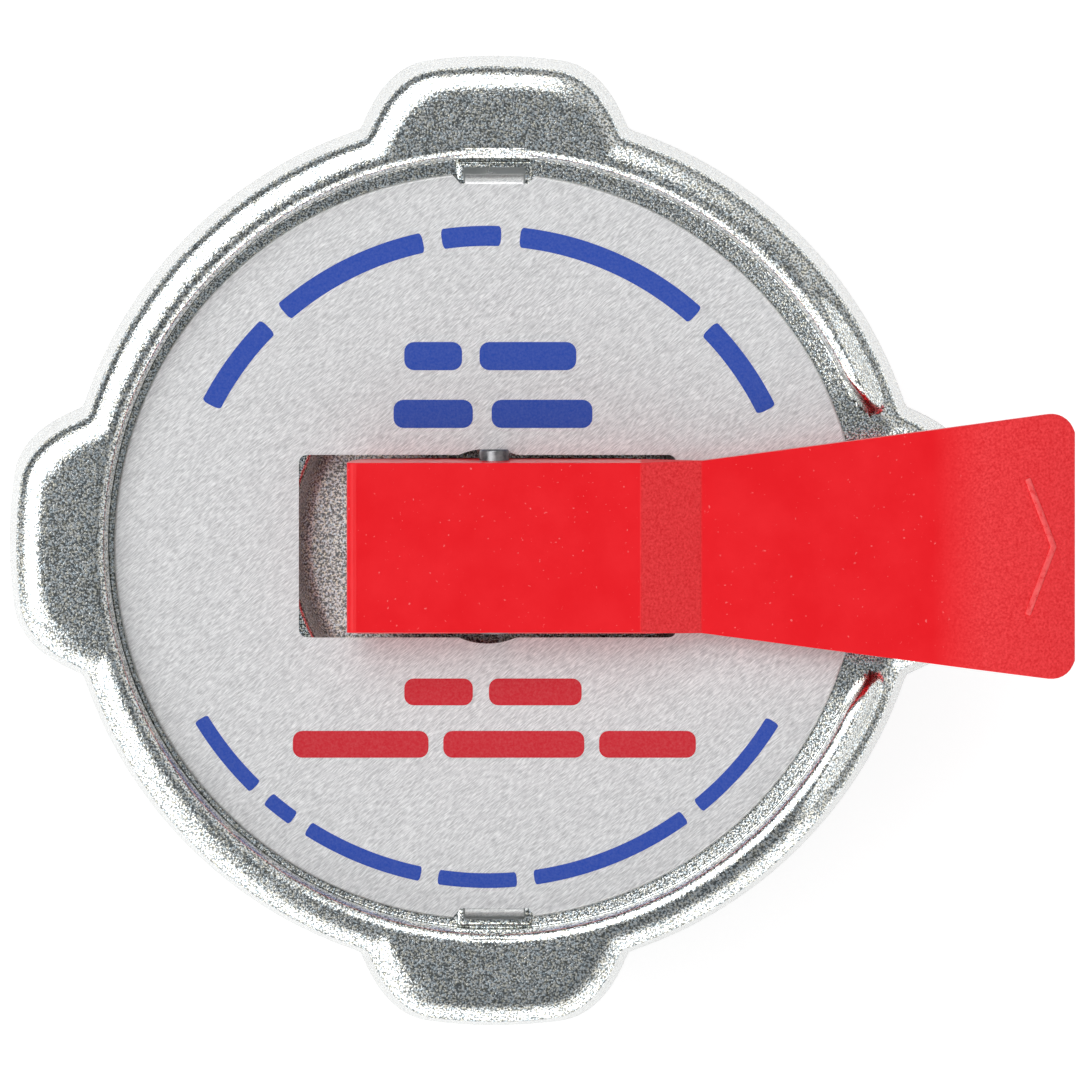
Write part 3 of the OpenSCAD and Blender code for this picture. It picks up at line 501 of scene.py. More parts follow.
# Stem: a turned and plated steel rod that slides in the bush, with a foot below that hangs in the lift cage.
# Its head is cross-drilled as an eye for the lever's pin.
pin_z, lever_side, eye_r, eye_half, eye_bore = 8.6, -0.2, 2.25, 2.5, 1.15
turned, nodes, links, shader, place = material("turned_steel", (0.5, 0.5, 0.51), 1.0, 0.3)
cuts = noise(nodes, links, place, 1500, 2, 0.5, stretch=(8, 8, 1))
cut_grey = ramp(nodes, links, cuts, [(0.3, (0.36, 0.36, 0.37)), (0.7, (0.62, 0.62, 0.62))])
links.new(cut_grey, shader.inputs["Base Color"])
links.new(span(nodes, links, cuts, 0.3, 0.7, 0.22, 0.4), shader.inputs["Roughness"])
bump(nodes, links, shader, cuts, 0.15, 0.01)
stem = spun("stem_rod", rounded([
    (0, -10.2, 0), (4.6, -10.2), (4.6, -9), (2, -9, 0.3), (2, pin_z, 0), (0, pin_z, 0)], 0.2), 64)
eye = spun("eye", rounded([(0, -eye_half, 0), (eye_r, -eye_half), (eye_r, eye_half), (0, eye_half, 0)], 0.25), 64)
for v in eye.data.vertices:
    v.co.y, v.co.z = v.co.z, pin_z * mm - v.co.y
choose(eye)
bpy.ops.object.mode_set(mode="EDIT")
close_up(eye)
carve(stem, eye, "UNION")
carve(stem, rod("eye_cut", eye_bore, -4, 4, "Y", (0, pin_z), 48))
dress(stem, turned, "stem", "stem_steel", "stem")


# Main spring: drawn spring wire wound with closed ends, standing between the bell's shoulder and the valve plate.
# It is pressed shorter as the stem lifts the valve.
spring_mid_r, spring_wire, spring_low, spring_high, spring_h, stem_stroke = 16.55, 2, -16.75, -0.45, 16.3, 4.8


def wound(name, mid_r, wire, low, high, coils, per_turn, sides):
    """A coil of round wire about Z with closed end turns, made as a bevelled curve and turned into a mesh."""
    coil = fresh(bpy.ops.curve.primitive_nurbs_path_add, name)
    coil.data.splines.clear()
    count = round(coils * per_turn)
    path = coil.data.splines.new("POLY")
    path.points.add(count)
    free, end, closed_pitch = high - low - wire, 0.75, 1.02
    flat = wire * closed_pitch * end
    for i, point in enumerate(path.points):
        t = coils * i / count
        if t < end:
            rise = flat * t / end
        elif t > coils - end:
            rise = free - flat * (coils - t) / end
        else:
            rise = flat + (free - 2 * flat) * (t - end) / (coils - 2 * end)
        angle = 2 * math.pi * t
        height = (low + wire / 2 + rise) * mm
        point.co = (mid_r * mm * math.cos(angle), mid_r * mm * math.sin(angle), height, 1)
    coil.data.dimensions = "3D"
    coil.data.twist_mode = "Z_UP"
    coil.data.bevel_depth = wire / 2 * mm
    coil.data.bevel_resolution = sides
    coil.data.use_fill_caps = True
    choose(coil)
    bpy.ops.object.convert(target="MESH")
    coil = bpy.context.object
    coil.data.name = name
    bpy.ops.object.mode_set(mode="EDIT")
    return close_up(coil, 60)


wire, nodes, links, shader, place = material("spring_wire", (0.3, 0.31, 0.33), 1.0, 0.34)
scale_marks = noise(nodes, links, place, 1100, 3, 0.6)
scaled = ramp(nodes, links, scale_marks, [(0.3, (0.22, 0.22, 0.24)), (0.7, (0.44, 0.44, 0.46))])
links.new(scaled, shader.inputs["Base Color"])
links.new(span(nodes, links, scale_marks, 0.3, 0.7, 0.26, 0.45), shader.inputs["Roughness"])
bump(nodes, links, shader, scale_marks, 0.15, 0.01)
main_spring = wound("pressure_spring", spring_mid_r, spring_wire, spring_low, spring_high, 4.5, 72, 4)
dress(main_spring, wire, "shell", "spring_steel", "main_spring")
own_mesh(main_spring)

# Valve plate: stamped brass with a ridge that centres the spring and four small holes beside the vacuum valve's stem.
# The end of its hollow boss is turned over the gasket's washer.
flow_count, flow_r, flow_circle_r = 4, 0.8, 3.2
valve_plate = spun("valve_disc", rounded([
    (1.35, -17.7, 0.1), (4.2, -17.7, 0), (4.2, -19.7, 0.2), (6, -19.7), (6, -19.3), (5, -19.3, 0), (5, -17.7, 0),
    (19.6, -17.7), (19.6, -16.8), (15.25, -16.8, 0.3), (14.95, -16.2, 0.3), (14.25, -16.2, 0.3), (13.95, -16.8, 0.3),
    (1.35, -16.8, 0.1)], 0.15), 160)
for i in range(flow_count):
    angle = math.radians(360 / flow_count * i)
    at = flow_circle_r * math.cos(angle), flow_circle_r * math.sin(angle)
    carve(valve_plate, rod("flow_cut", flow_r, -18.5, -16, "Z", at, 32))
dress(valve_plate, brass, "pressure_valve", "valve_brass", "valve_plate")

# Lift cage: a small drawn brass cage with three windows, spot-welded to the valve plate by its foot ring.
# The stem's foot hangs in it and pulls the valve up.
window_count, window_half_w, window_low, window_high = 3, 2.5, -15.1, -9.9
cage = spun("foot_cage", rounded([
    (5.4, -16.8, 0), (8.5, -16.8), (8.5, -16.1), (6.1, -16.1, 0.3), (6.1, -8.2, 0.6), (2.3, -8.2, 0.1),
    (2.3, -8.9, 0.1), (5.4, -8.9, 0.3)], 0.15), 96)
for i in range(window_count):
    window = block("window_cut", (0, -window_half_w, window_low), (10.8, window_half_w, window_high), 0.6, 3)
    about_z(window, 360 / window_count * i)
    carve(cage, window)
dress(cage, brass, "pressure_valve", "valve_brass", "lift_cage")

# Pressure gasket: a moulded rubber ring that seats inside the neck.
# A steel washer under the boss's turned lip clamps it to the valve plate.
pressure_gasket = spun("pressure_gasket_ring", rounded([
    (5.1, -17.7, 0.05), (20.5, -17.7), (20.5, -21), (13.5, -21), (13.5, -18.7, 0.2), (5.1, -18.7, 0.05)], 0.4, 5), 192)
dress(pressure_gasket, rubber, "pressure_valve", "black_rubber", "pressure_gasket")
washer = spun("gasket_washer", rounded([(5.05, -19.3), (13.2, -19.3), (13.2, -18.7), (5.05, -18.7)], 0.12, 3), 128)
dress(washer, bell_steel, "pressure_valve", "bell_steel", "gasket_retainer")

# Vacuum valve: a brass disc and stem that closes the boss from below, with a rubber washer on it.
# A light spring and a clip on the stem hold it shut.
vacuum_low, vacuum_high, vacuum_h, vacuum_stroke = -16.75, -13.65, 3.1, 1.2
button = spun("vacuum_button", rounded([
    (0, -20.7, 0), (6.8, -20.7), (6.8, -20.2), (1.2, -20.2, 0.2), (1.2, -13.6, 0), (0.95, -13.6, 0), (0.95, -13.1, 0),
    (1.2, -13.1, 0), (1.2, -12.65, 0), (0.95, -12.4, 0), (0, -12.4, 0)], 0.15), 96)
dress(button, brass, "vacuum_valve", "valve_brass", "vacuum_valve")
button_seal = spun("vacuum_seal_ring", rounded([(4.4, -20.2), (6.4, -20.2), (6.4, -19.7), (4.4, -19.7)], 0.1, 3), 96)
dress(button_seal, rubber, "vacuum_valve", "black_rubber", "vacuum_seal")
vacuum_spring = wound("vacuum_coil", 1.775, 0.45, vacuum_low, vacuum_high, 3.5, 40, 3)
dress(vacuum_spring, wire, "pressure_valve", "spring_steel", "vacuum_spring")
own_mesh(vacuum_spring)
clip = spun("stem_clip", rounded([(1, -13.6), (2.9, -13.6), (2.9, -13.1), (1, -13.1)], 0.08, 2), 64)
carve(clip, block("clip_cut", (0, -0.8, -14), (6, 0.8, -12.6)))
dress(clip, turned, "vacuum_valve", "pin_steel", "vacuum_clip")

# Name plate: brushed aluminium blanked from sheet, with a slot for the lever that bows out round the pin.
# Two tongues bend through the panel's slots and are folded over below.
plate_z, plate_t, plate_r, plate_x = panel_z, 0.6, 27.8, -0.5
plate_top = plate_z + plate_t
plate = spun("face_plate", rounded([
    (0, plate_z, 0), (plate_r, plate_z), (plate_r, plate_top), (0, plate_top, 0)], 0.17, 4), 288)
for v in plate.data.vertices:
    v.co.x += plate_x * mm
    v.co.y += lever_side * mm
slot_half, slot_w_half, bow_w, bow_out = 14.05, 6.8, 4.3, 0.45
slot = block("slot_cut", (plate_x - slot_half, lever_side - slot_w_half, plate_z - 1),
             (plate_x + slot_half, lever_side + slot_w_half, plate_z + 2))
bpy.ops.object.mode_set(mode="EDIT")
bpy.ops.mesh.select_all(action="DESELECT")
bpy.ops.object.mode_set(mode="OBJECT")
for e in slot.data.edges:
    a, b = (slot.data.vertices[i].co for i in e.vertices)
    e.select = abs(a.z - b.z) > mm
bpy.ops.object.mode_set(mode="EDIT")
bpy.ops.mesh.bevel(offset=0.6 * mm, segments=5, affect="EDGES")
bpy.ops.object.mode_set(mode="OBJECT")
bow_r = (bow_w ** 2 / 4 + bow_out ** 2) / (2 * bow_out)
for side in (-1, 1):
    carve(slot, rod("bow", bow_r, plate_z - 1.1, plate_z + 2.1, "Z",
                    (plate_x, lever_side + side * (slot_w_half + bow_out - bow_r)), 96), "UNION")
carve(plate, slot)
notch_half_w, notch_in, notch_out, notch_flare = 2.6, 26.95, 28.5, 1.45
for side in (-1, 1):
    notch = block("notch_cut", (-notch_half_w, notch_in, plate_z - 1), (notch_half_w, notch_out, plate_z + 2), 0.12, 2)
    for v in notch.data.vertices:
        if v.co.y > 27.5 * mm:
            v.co.x *= notch_flare
        v.co.y = side * v.co.y + lever_side * mm
    choose(notch)
    bpy.ops.object.mode_set(mode="EDIT")
    close_up(notch)
    carve(plate, notch)
tongue_half_w, tongue_root, tongue_end, bend_y, bend_in, bend_out = 2.175, 26.0, 25.0, 26.8, 0.3, 0.9
bend_z, fold_z = plate_z - 0.3, plate_z - 0.9
fan = [math.radians(90 - 15 * k) for k in range(7)]
dip = [math.radians(-15 * k) for k in range(7)]
run = [(tongue_root, plate_top)]
run += [(bend_y + bend_out * math.cos(a), bend_z + bend_out * math.sin(a)) for a in fan]
run += [(bend_y + bend_out * math.cos(a), fold_z + bend_out * math.sin(a)) for a in dip]
run += [(tongue_end, fold_z - bend_out), (tongue_end, fold_z - bend_in)]
run += [(bend_y + bend_in * math.cos(a), fold_z + bend_in * math.sin(a)) for a in reversed(dip)]
run += [(bend_y + bend_in * math.cos(a), bend_z + bend_in * math.sin(a)) for a in reversed(fan)]
run += [(tongue_root, plate_z)]
for side in (-1, 1):
    tongue = outlined("tongue", [(-tongue_half_w, y, z) for y, z in run])
    bpy.ops.mesh.extrude_region_move(TRANSFORM_OT_translate={"value": (2 * tongue_half_w * mm, 0, 0)})
    close_up(tongue)
    for v in tongue.data.vertices:
        v.co.y = side * v.co.y + lever_side * mm
    bpy.ops.object.mode_set(mode="EDIT")
    close_up(tongue)
    carve(plate, tongue, "UNION")
level_at = 0.9999
for face in plate.data.polygons:
    if abs(face.normal.z) > level_at:
        face.use_smooth = False
brushed, nodes, links, shader, place = material("brushed_aluminium", (0.78, 0.78, 0.79), 0.5, 0.36)
strokes = noise(nodes, links, place, 13000, 2, 0.6, stretch=(7, 1, 1), turn=math.radians(40))
stroke_grey = ramp(nodes, links, strokes, [(0.3, (0.47, 0.47, 0.48)), (0.7, (0.83, 0.83, 0.83))])
links.new(stroke_grey, shader.inputs["Base Color"])
links.new(span(nodes, links, strokes, 0.3, 0.7, 0.3, 0.44), shader.inputs["Roughness"])
bump(nodes, links, shader, strokes, 0.3, 0.01)
dress(plate, brushed, "shell", "plate_aluminium", "name_plate")

# Print: blue and red ink screened on the plate in a thin film.
# It is rows of plain rounded bars, with two thin rows that follow the rim.
ink_t, ink_z, bar_round = 0.02, plate_top, 0.35
upper_row_r, upper_row_w, upper_bar_half, lower_bar_half, lower_row_r, lower_row_w = 23.1, 1.5, 1.05, 1.0, 24.9, 1.1


def inked(name, colour, roughness=0.4):
    """Flat printing ink with the faint mottle of a screen print."""
    made, nodes, links, shader, place = material(name, colour, 0.0, roughness)
    shader.inputs["Specular IOR Level"].default_value = 0.3
    mottle = noise(nodes, links, place, 6000, 3, 0.7)
    pale = tuple(c + (1 - c) * 0.04 for c in colour)
    links.new(ramp(nodes, links, mottle, [(0.35, colour), (0.75, pale)]), shader.inputs["Base Color"])
    links.new(span(nodes, links, mottle, 0.3, 0.7, 0.34, 0.5), shader.inputs["Roughness"])
    return made


def joined(name, marks):
    """Join the marks of one print into one piece."""
    bpy.ops.object.select_all(action="DESELECT")
    for mark in marks:
        mark.select_set(True)
    bpy.context.view_layer.objects.active = marks[0]
    bpy.ops.object.join()
    piece = bpy.context.object
    piece.name = piece.data.name = name
    bpy.ops.object.mode_set(mode="EDIT")
    return close_up(piece)


def bar(x0, x1, y0, y1):
    """A flat rounded bar between two corners in millimetres, from the plate's own centre."""
    corners = rounded([(x0, y0), (x1, y0), (x1, y1), (x0, y1)], bar_round * (y1 - y0), 5)
    mark = outlined("bar", [(x + plate_x, y + lever_side, ink_z - ink_t) for x, y in corners])
    bpy.ops.mesh.extrude_region_move(TRANSFORM_OT_translate={"value": (0, 0, 2 * ink_t * mm)})
    return close_up(mark)


def arc_bar(start, end, radius, width):
    """A flat bar that follows the rim between two angles, with rounded ends."""
    mark = bar(0, abs(start - end), -width / 2, width / 2)
    choose(mark)
    bpy.ops.object.mode_set(mode="EDIT")
    for cut in [-plate_x, *range(1, int(abs(start - end)))]:
        bpy.ops.mesh.select_all(action="SELECT")
        bpy.ops.mesh.bisect(plane_co=((cut + plate_x) * mm, 0, 0), plane_no=(1, 0, 0))
    bpy.ops.object.mode_set(mode="OBJECT")
    for v in mark.data.vertices:
        along, out = v.co.x / mm - plate_x, v.co.y / mm - lever_side
        angle = math.radians(min(start, end) + along)
        v.co.x = (plate_x + (radius + out) * math.cos(angle)) * mm
        v.co.y = (lever_side + (radius + out) * math.sin(angle)) * mm
    return mark


blue = inked("blue_ink", (0.012, 0.056, 0.37))
red = inked("red_ink", (0.52, 0.007, 0.018))
upper_row = joined("print_upper_row", [arc_bar(a, b, upper_row_r, upper_row_w) for a, b in (
    (153, 135), (131, 102), (98.5, 87.5), (84, 48), (44.5, 26))])
dress(upper_row, blue, "shell", "plate_aluminium")
upper_bars = joined("print_upper_bars", [bar(x0, x1, y - upper_bar_half, y + upper_bar_half) for x0, x1, y in (
    (-6.2, -1.9, 14.15), (-0.6, 6.6, 14.15), (-7.0, -1.1, 9.85), (0.3, 7.8, 9.85))])
dress(upper_bars, blue, "shell", "plate_aluminium")
lower_bars = joined("print_lower_bars", [bar(x0, x1, y - lower_bar_half, y + lower_bar_half) for x0, x1, y in (
    (-6.2, -1.1, -10.85), (0.1, 7.0, -10.85), (-14.5, -4.4, -14.75), (-3.3, 7.2, -14.75), (8.3, 15.5, -14.75))])
dress(lower_bars, red, "shell", "plate_aluminium")
lower_row = joined("print_lower_row", [arc_bar(a, b, lower_row_r, lower_row_w) for a, b in (
    (211, 226), (229, 234.5), (237.5, 258.5), (261.5, 275), (278, 306), (309, 328.5))])
dress(lower_row, blue, "shell", "plate_aluminium")

# Lever: moulded red plastic with a straight hollow hub, a flared arm and a tip turned down for a finger.
# The hub's heel is a cam that bears on the well's floor. The slope and the tip have a grained finish.
# Their red is painted paler there: partly the grain's own tone, partly painted light on the slope and a painted sheen
# on the tip.
hub_half, hub_draft, hub_rise, heel_h, lever_back, lever_front = 6.5, 0.2, 3.6, 6.15, 10.95, 43.2
slope_start, slope_end, arm_rise, arm_t, tip_start, tip_drop, tip_half = 10.9, 15.4, 1.0, 2.7, 32.8, 2.2, 10.1
cheek_front, arm_low, arm_half, tip_corner = 9.5, arm_rise - arm_t, 6.4, 2.0
cam_k = (lever_back - heel_h) / (math.pi / 2)
tip_run = lever_front - tip_start
tip_arc_r = (tip_run ** 2 + tip_drop ** 2) / (2 * tip_drop)


def half_width(x, z):
    """Half the lever's width at a place along it, with the hub's draft and the tip's round corners."""
    hub = hub_half - hub_draft * min(max((z - arm_low) / (hub_rise - arm_low), 0), 1)
    arm = arm_half + (tip_half - arm_half) * max(x - slope_end, 0) / (lever_front - slope_end)
    wide = hub + (arm - hub) * smoothstep((x - slope_start) / (slope_end - slope_start)) if x < slope_end else arm
    into = x - (lever_front - tip_corner)
    if into > 0:
        wide -= tip_corner - math.sqrt(max(tip_corner ** 2 - into ** 2, 0))
    return wide


def arm_top(x):
    """Height of the arm's upper face above the pin, which falls in an arc at the tip."""
    return arm_rise - (tip_arc_r - math.sqrt(tip_arc_r ** 2 - max(x - tip_start, 0) ** 2))


heel = []
for k in range(25):
    turn = math.pi / 2 * k / 24
    h = heel_h + cam_k * turn
    heel.append((-h * math.sin(turn) - cam_k * math.cos(turn), -h * math.cos(turn) + cam_k * math.sin(turn)))
along = [slope_end + (lever_front - tip_corner - slope_end) * k / 28 for k in range(1, 29)]
along += [lever_front - tip_corner + tip_corner * math.sin(math.radians(90 * k / 8)) for k in range(1, 9)]
side_view = [(cheek_front, -heel_h), *heel, (-lever_back, hub_rise), (slope_start, hub_rise), (slope_end, arm_rise)]
side_view += [(x, arm_top(x)) for x in along] + [(x, arm_top(x) - arm_t) for x in reversed(along)]
side_view += [(slope_end, arm_low), (cheek_front + 1, arm_low)]
lever = outlined("vent_lever", [(x, -1, z) for x, z in side_view])
bpy.ops.mesh.extrude_region_move(TRANSFORM_OT_translate={"value": (0, 2 * mm, 0)})
slope_cuts = [slope_start + (slope_end - slope_start) * k / 8 for k in range(9)]
for x in [cheek_front + 1, *slope_cuts, *along[:-1]]:
    bpy.ops.mesh.select_all(action="SELECT")
    bpy.ops.mesh.bisect(plane_co=(x * mm, 0, 0), plane_no=(1, 0, 0))
bpy.ops.mesh.select_all(action="SELECT")
bpy.ops.mesh.bisect(plane_co=(0, 0, arm_low * mm), plane_no=(0, 0, 1))
close_up(lever)
for v in lever.data.vertices:
    wide = half_width(v.co.x / mm, v.co.z / mm)
    v.co.y = (math.copysign(wide, v.co.y) + lever_side) * mm
    v.co.z += pin_z * mm
choose(lever)
bpy.ops.object.mode_set(mode="EDIT")
bpy.ops.mesh.select_all(action="DESELECT")
bpy.ops.object.mode_set(mode="OBJECT")
for e in lever.data.edges:
    a, b = (lever.data.vertices[i].co for i in e.vertices)
    rear = max(a.x, b.x) < -(lever_back - 0.3) * mm and min(a.z, b.z) > (pin_z - 1) * mm
    e.select = rear and (abs(a.z - b.z) > mm or min(a.z, b.z) > (pin_z + hub_rise - 0.1) * mm)
bpy.ops.object.mode_set(mode="EDIT")
bpy.ops.mesh.bevel(offset=0.7 * mm, segments=5, affect="EDGES")
close_up(lever)
soften = lever.modifiers.new("soften", "BEVEL")
soften.width, soften.segments, soften.limit_method, soften.angle_limit = 0.35 * mm, 3, "ANGLE", math.radians(40)
bpy.ops.object.modifier_apply(modifier=soften.name)
wall, roof_z, boss_r, boss_in, boss_out, stem_half, stem_roof_z, pin_bore = 1.3, 2.35, 2.25, 2.8, 5.8, 2.25, 2.25, 1.12
hollow = block("hollow_cut", (-lever_back + wall, lever_side - hub_half + wall, -10 + pin_z),
               (cheek_front - wall, lever_side + hub_half - wall, pin_z + roof_z), 0.4, 2)
carve(lever, hollow)
carve(lever, block("stem_slot", (-lever_back - 1.05, lever_side - stem_half, pin_z - 8),
                   (-1, lever_side + stem_half, pin_z + stem_roof_z), 0.2, 2))
for side in (-1, 1):
    boss = rod("boss", boss_r, boss_in, boss_out, "Y", (0, pin_z), 48)
    for v in boss.data.vertices:
        v.co.y = side * v.co.y + lever_side * mm
    choose(boss)
    bpy.ops.object.mode_set(mode="EDIT")
    close_up(boss)
    carve(lever, boss, "UNION")
carve(lever, rod("pin_cut", pin_bore, -8, 8, "Y", (0, pin_z), 48))
pocket_half, pocket_end_half, pocket_start, pocket_end, pocket_h = 5.15, 7.4, 15.9, 33.8, 1.2
for low, high in ((-1, -0.71), (-0.52, -0.1), (0.1, 0.52), (0.71, 1)):
    pocket = block("pocket_cut", (pocket_start, -1, pin_z + arm_low - 1), (pocket_end, 1, pin_z + arm_low + pocket_h))
    for v in pocket.data.vertices:
        share = low if v.co.y < 0 else high
        v.co.y = (share * (pocket_half if v.co.x < 25 * mm else pocket_end_half) + lever_side) * mm
    carve(lever, pocket)
for face in lever.data.polygons:
    if face.normal.z > 0.9 and face.area > 0.4 * mm * mm:
        face.use_smooth = False
plastic, nodes, links, shader, place = material("red_plastic", (0.86, 0.010, 0.018), 0.0, 0.34)
axes = nodes.new("ShaderNodeSeparateXYZ")
links.new(place, axes.inputs["Vector"])
tip_zone = span(nodes, links, axes.outputs["X"], 32.6 * mm, 36.5 * mm, 0, 1)
slope_in = span(nodes, links, axes.outputs["X"], 10.8 * mm, 11.0 * mm, 0, 1)
slope_out = span(nodes, links, axes.outputs["X"], 15.3 * mm, 15.5 * mm, 1, 0)
slope_zone = nodes.new("ShaderNodeMath")
slope_zone.operation = "MULTIPLY"
links.new(slope_in, slope_zone.inputs[0])
links.new(slope_out, slope_zone.inputs[1])
# The grained zone, the slope and the tip, is also where the red is painted paler with painted light.
grained_and_painted_light_zone = nodes.new("ShaderNodeMath")
grained_and_painted_light_zone.operation = "MAXIMUM"
links.new(tip_zone, grained_and_painted_light_zone.inputs[0])
links.new(slope_zone.outputs[0], grained_and_painted_light_zone.inputs[1])
pebble = noise(nodes, links, place, 5600, 3, 0.6)
smudge = noise(nodes, links, place, 240, 4, 0.6)
shader.inputs["Specular IOR Level"].default_value = 0.2
smooth_red = ramp(nodes, links, smudge, [(0.35, (0.77, 0.006, 0.012)), (0.75, (0.82, 0.014, 0.021))])
# Paler red of the grained zone: partly the grain's own tone, partly painted light that lifts the slope, which faces
# away from the key light, and a painted sheen on the tip's downturn.
grain_and_painted_light_red = ramp(nodes, links, pebble, [(0.3, (0.70, 0.014, 0.019)), (0.7, (0.90, 0.058, 0.064))])
dust = noise(nodes, links, place, 3100, 2, 0.5)
fleck = ramp(nodes, links, dust, [(0.70, (0, 0, 0)), (0.76, (0.5, 0.5, 0.5))])
flecked = nodes.new("ShaderNodeMix")
flecked.data_type = "RGBA"
links.new(fleck, flecked.inputs["Factor"])
links.new(smooth_red, flecked.inputs["A"])
flecked.inputs["B"].default_value = (0.92, 0.25, 0.25, 1)
coat = nodes.new("ShaderNodeMix")
coat.data_type = "RGBA"
links.new(grained_and_painted_light_zone.outputs[0], coat.inputs["Factor"])
links.new(flecked.outputs["Result"], coat.inputs["A"])
links.new(grain_and_painted_light_red, coat.inputs["B"])
links.new(coat.outputs["Result"], shader.inputs["Base Color"])
links.new(span(nodes, links, grained_and_painted_light_zone.outputs[0], 0, 1, 0.32, 0.58), shader.inputs["Roughness"])
height = nodes.new("ShaderNodeMath")
height.operation = "MULTIPLY"
links.new(pebble, height.inputs[0])
links.new(span(nodes, links, grained_and_painted_light_zone.outputs[0], 0, 1, 0.06, 1), height.inputs[1])
bump(nodes, links, shader, height.outputs[0], 0.5, 0.06)
dress(lever, plastic, "lever", "lever_plastic", "lever")

# Tip arrow: two fine ribs moulded on the lever's tip to show which way it lifts. They follow the tip's curve, and
# their red is painted paler than the grained plastic round them as a painted highlight; they are also smoother.
rib_highlight_plastic, nodes, links, shader, place = material("rib_highlight_red_plastic", (0.88, 0.07, 0.075), 0.0, 0.3)
rib_mottle = noise(nodes, links, place, 2600, 3, 0.6)
# The ribs' paler red is a painted highlight.
rib_highlight_red = ramp(nodes, links, rib_mottle, [(0.35, (0.84, 0.045, 0.05)), (0.7, (0.93, 0.13, 0.13))])
links.new(rib_highlight_red, shader.inputs["Base Color"])
links.new(span(nodes, links, rib_mottle, 0.3, 0.7, 0.24, 0.42), shader.inputs["Roughness"])
rib_x, rib_tip_x, rib_half, rib_w, rib_h, rib_sink, rib_over = 39.7, 41.6, 4.95, 0.42, 0.16, 0.4, 0.12
ribs = []
for side in (-1, 1):
    length = math.hypot(rib_tip_x - rib_x, rib_half)
    lean = math.atan2(side * (rib_tip_x - rib_x), rib_half)
    reach = length / 2 + rib_over
    rib = block("rib", (-rib_w / 2, -reach, -rib_sink), (rib_w / 2, reach, rib_h), 0.13, 3)
    about_z(rib, math.degrees(lean))
    for v in rib.data.vertices:
        v.co.x += (rib_x + rib_tip_x) / 2 * mm
        v.co.y += (side * rib_half / 2 + lever_side) * mm
        v.co.z += (arm_top(v.co.x / mm) + pin_z) * mm
    ribs.append(rib)
arrow, other_rib = ribs
carve(arrow, other_rib, "UNION")
arrow.name = arrow.data.name = "tip_arrow"
dress(arrow, rib_highlight_plastic, "lever", "lever_plastic")

# Pivot pin: a plain dark steel pin with broken edges, pressed through the lever's hub and the stem's eye.
# It is flush with the hub on one side and stands a little out on the other.
pin_r, pin_low, pin_high = 1.1, -6.5, 7.25
pin = spun("lever_pin", rounded([(0, pin_low, 0), (pin_r, pin_low), (pin_r, pin_high), (0, pin_high, 0)], 0.18, 3), 40)
for v in pin.data.vertices:
    v.co.y, v.co.z = v.co.z + lever_side * mm, pin_z * mm - v.co.y
choose(pin)
bpy.ops.object.mode_set(mode="EDIT")
close_up(pin)
dark_steel, nodes, links, shader, place = material("dark_pin_steel", (0.16, 0.16, 0.165), 1.0, 0.36)
worn = noise(nodes, links, place, 1800, 3, 0.6)
worn_grey = ramp(nodes, links, worn, [(0.3, (0.11, 0.11, 0.115)), (0.7, (0.26, 0.26, 0.265))])
links.new(worn_grey, shader.inputs["Base Color"])
links.new(span(nodes, links, worn, 0.3, 0.7, 0.28, 0.48), shader.inputs["Roughness"])
bump(nodes, links, shader, worn, 0.15, 0.01)
dress(pin, dark_steel, "lever", "pin_steel", "pivot_pin")

# Studio: a pale floor under the cap, three soft screens of light that are strongest at the left, and a darker ceiling.
# The screens look brighter to polished metal than they light matt faces. The camera looks almost straight down
# through a long lens.
floor_glow, sky_light, sky_shine = 0.8, 3.15, 4.9
floor = fresh(bpy.ops.mesh.primitive_plane_add, "floor", size=4, location=(0, 0, cad_low.z))
floor_paint, nodes, links, shader, place = material("pale_floor", (0.36, 0.36, 0.36), 0.0, 0.9)
shader.inputs["Emission Color"].default_value = (1, 1, 1, 1)
shader.inputs["Emission Strength"].default_value = floor_glow
floor.data.materials.append(floor_paint)
# From below the floor is clear, so the cap's underside can be looked at.
side_seen = nodes.new("ShaderNodeNewGeometry")
clear = nodes.new("ShaderNodeBsdfTransparent")
one_sided = nodes.new("ShaderNodeMixShader")
links.new(side_seen.outputs["Backfacing"], one_sided.inputs["Fac"])
links.new(shader.outputs["BSDF"], one_sided.inputs[1])
links.new(clear.outputs["BSDF"], one_sided.inputs[2])
links.new(one_sided.outputs["Shader"], nodes["Material Output"].inputs["Surface"])
floor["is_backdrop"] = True

scene = bpy.context.scene
world = scene.world or bpy.data.worlds.new("studio")
scene.world = world
world.use_nodes = True
nodes, links = world.node_tree.nodes, world.node_tree.links
sky = nodes["Background"]
way = nodes.new("ShaderNodeTexCoord").outputs["Generated"]
level = nodes.new("ShaderNodeVectorMath")
level.operation = "MULTIPLY"
level.inputs[1].default_value = (1, 1, 0)
links.new(way, level.inputs[0])
bearing = nodes.new("ShaderNodeVectorMath")
bearing.operation = "NORMALIZE"
links.new(level.outputs["Vector"], bearing.inputs[0])
rise = nodes.new("ShaderNodeSeparateXYZ")
links.new(way, rise.inputs["Vector"])


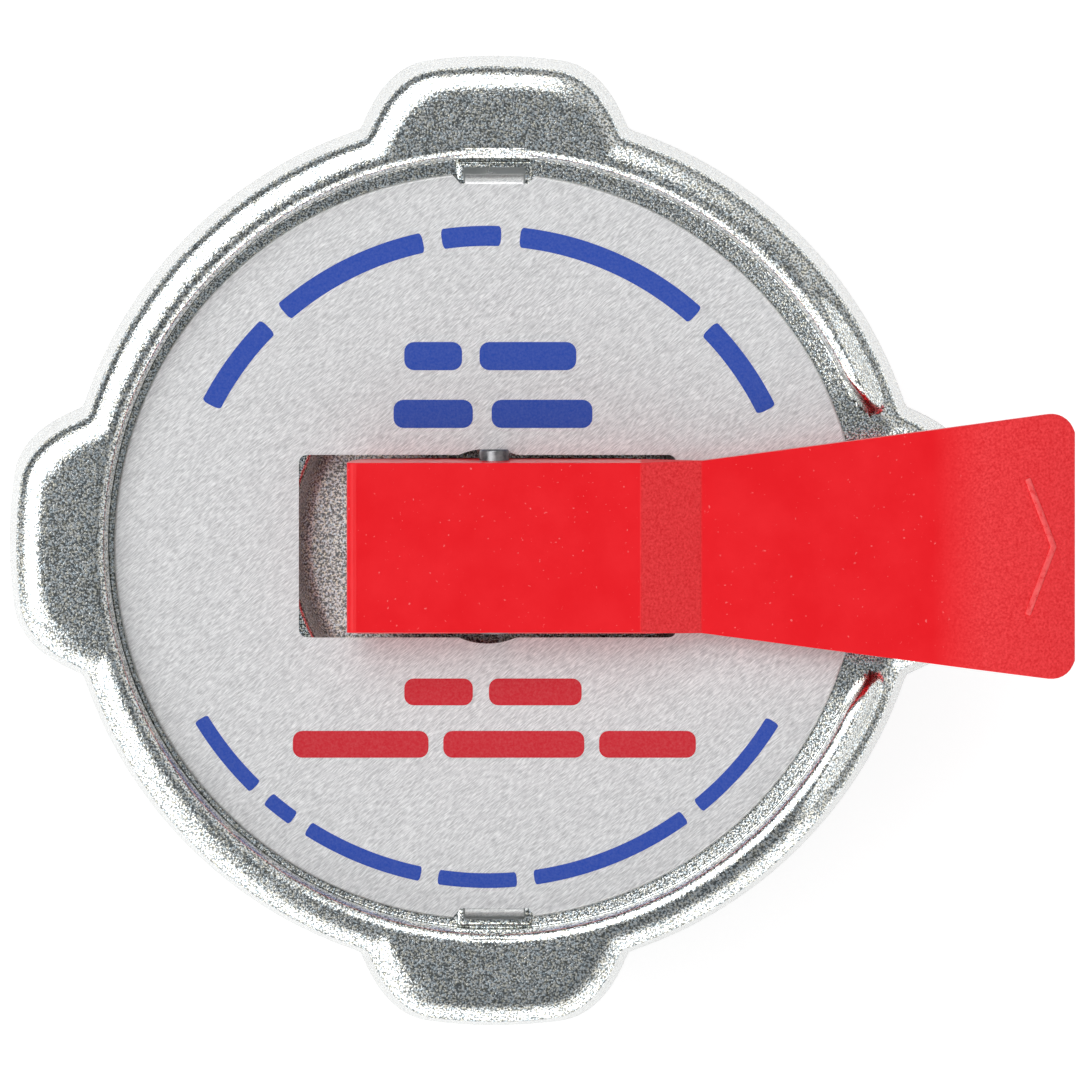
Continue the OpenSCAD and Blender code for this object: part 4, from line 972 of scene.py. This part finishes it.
def screen(under, azimuth, near, far, stops):
    """A soft screen in the sky: full within one angle of its azimuth, gone beyond another, with stops up its height."""
    facing = nodes.new("ShaderNodeVectorMath")
    facing.operation = "DOT_PRODUCT"
    facing.inputs[1].default_value = (math.cos(math.radians(azimuth)), math.sin(math.radians(azimuth)), 0)
    links.new(bearing.outputs["Vector"], facing.inputs[0])
    edge, full = math.cos(math.radians(far)), math.cos(math.radians(near))
    share = span(nodes, links, facing.outputs["Value"], edge, full, 0, 1)
    shaped = nodes.new("ShaderNodeMix")
    shaped.data_type = "RGBA"
    links.new(share, shaped.inputs["Factor"])
    shaped.inputs["A"].default_value = (0, 0, 0, 1)
    glows = ramp(nodes, links, rise.outputs["Z"], [(at, (glow, glow, glow)) for at, glow in stops])
    links.new(glows, shaped.inputs["B"])
    added = nodes.new("ShaderNodeMix")
    added.data_type, added.blend_type = "RGBA", "LIGHTEN"
    added.inputs["Factor"].default_value = 1
    if under:
        links.new(under, added.inputs["A"])
    else:
        added.inputs["A"].default_value = (0.056, 0.059, 0.062, 1)
    links.new(shaped.outputs["Result"], added.inputs["B"])
    return added.outputs["Result"]


lit = screen(None, 145, 50, 88, [(0.58, 0), (0.70, 1), (0.945, 1), (0.98, 0)])
lit = screen(lit, 262, 55, 92, [(0.0, 0.46), (0.62, 0.46), (0.86, 0.02)])
lit = screen(lit, 20, 50, 92, [(0.15, 0), (0.35, 0.15), (0.80, 0.15), (0.92, 0.02)])
seen = nodes.new("ShaderNodeLightPath")
back = nodes.new("ShaderNodeMix")
back.data_type = "RGBA"
links.new(seen.outputs["Is Camera Ray"], back.inputs["Factor"])
links.new(lit, back.inputs["A"])
back.inputs["B"].default_value = (0.36, 0.36, 0.36, 1)
links.new(back.outputs["Result"], sky.inputs["Color"])
links.new(span(nodes, links, seen.outputs["Is Glossy Ray"], 0, 1, sky_light, sky_shine), sky.inputs["Strength"])
scene.view_settings.view_transform = "Standard"

reach, tilt, aim_x, aim_y, view_w = 2.0, 0.02, 3.4, 0.13, 80.65
camera = fresh(bpy.ops.object.camera_add, "camera")
aim = Vector((aim_x * mm, aim_y * mm, 0))
camera.location = aim + Vector((0, math.sin(tilt) * reach, math.cos(tilt) * reach))
camera.rotation_euler = (-tilt, 0, 0)
camera.data.sensor_width = 36
camera.data.lens = 36 * reach / (view_w * mm)
camera.data.clip_start, camera.data.clip_end = 0.01, 20
scene.camera = camera

low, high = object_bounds()
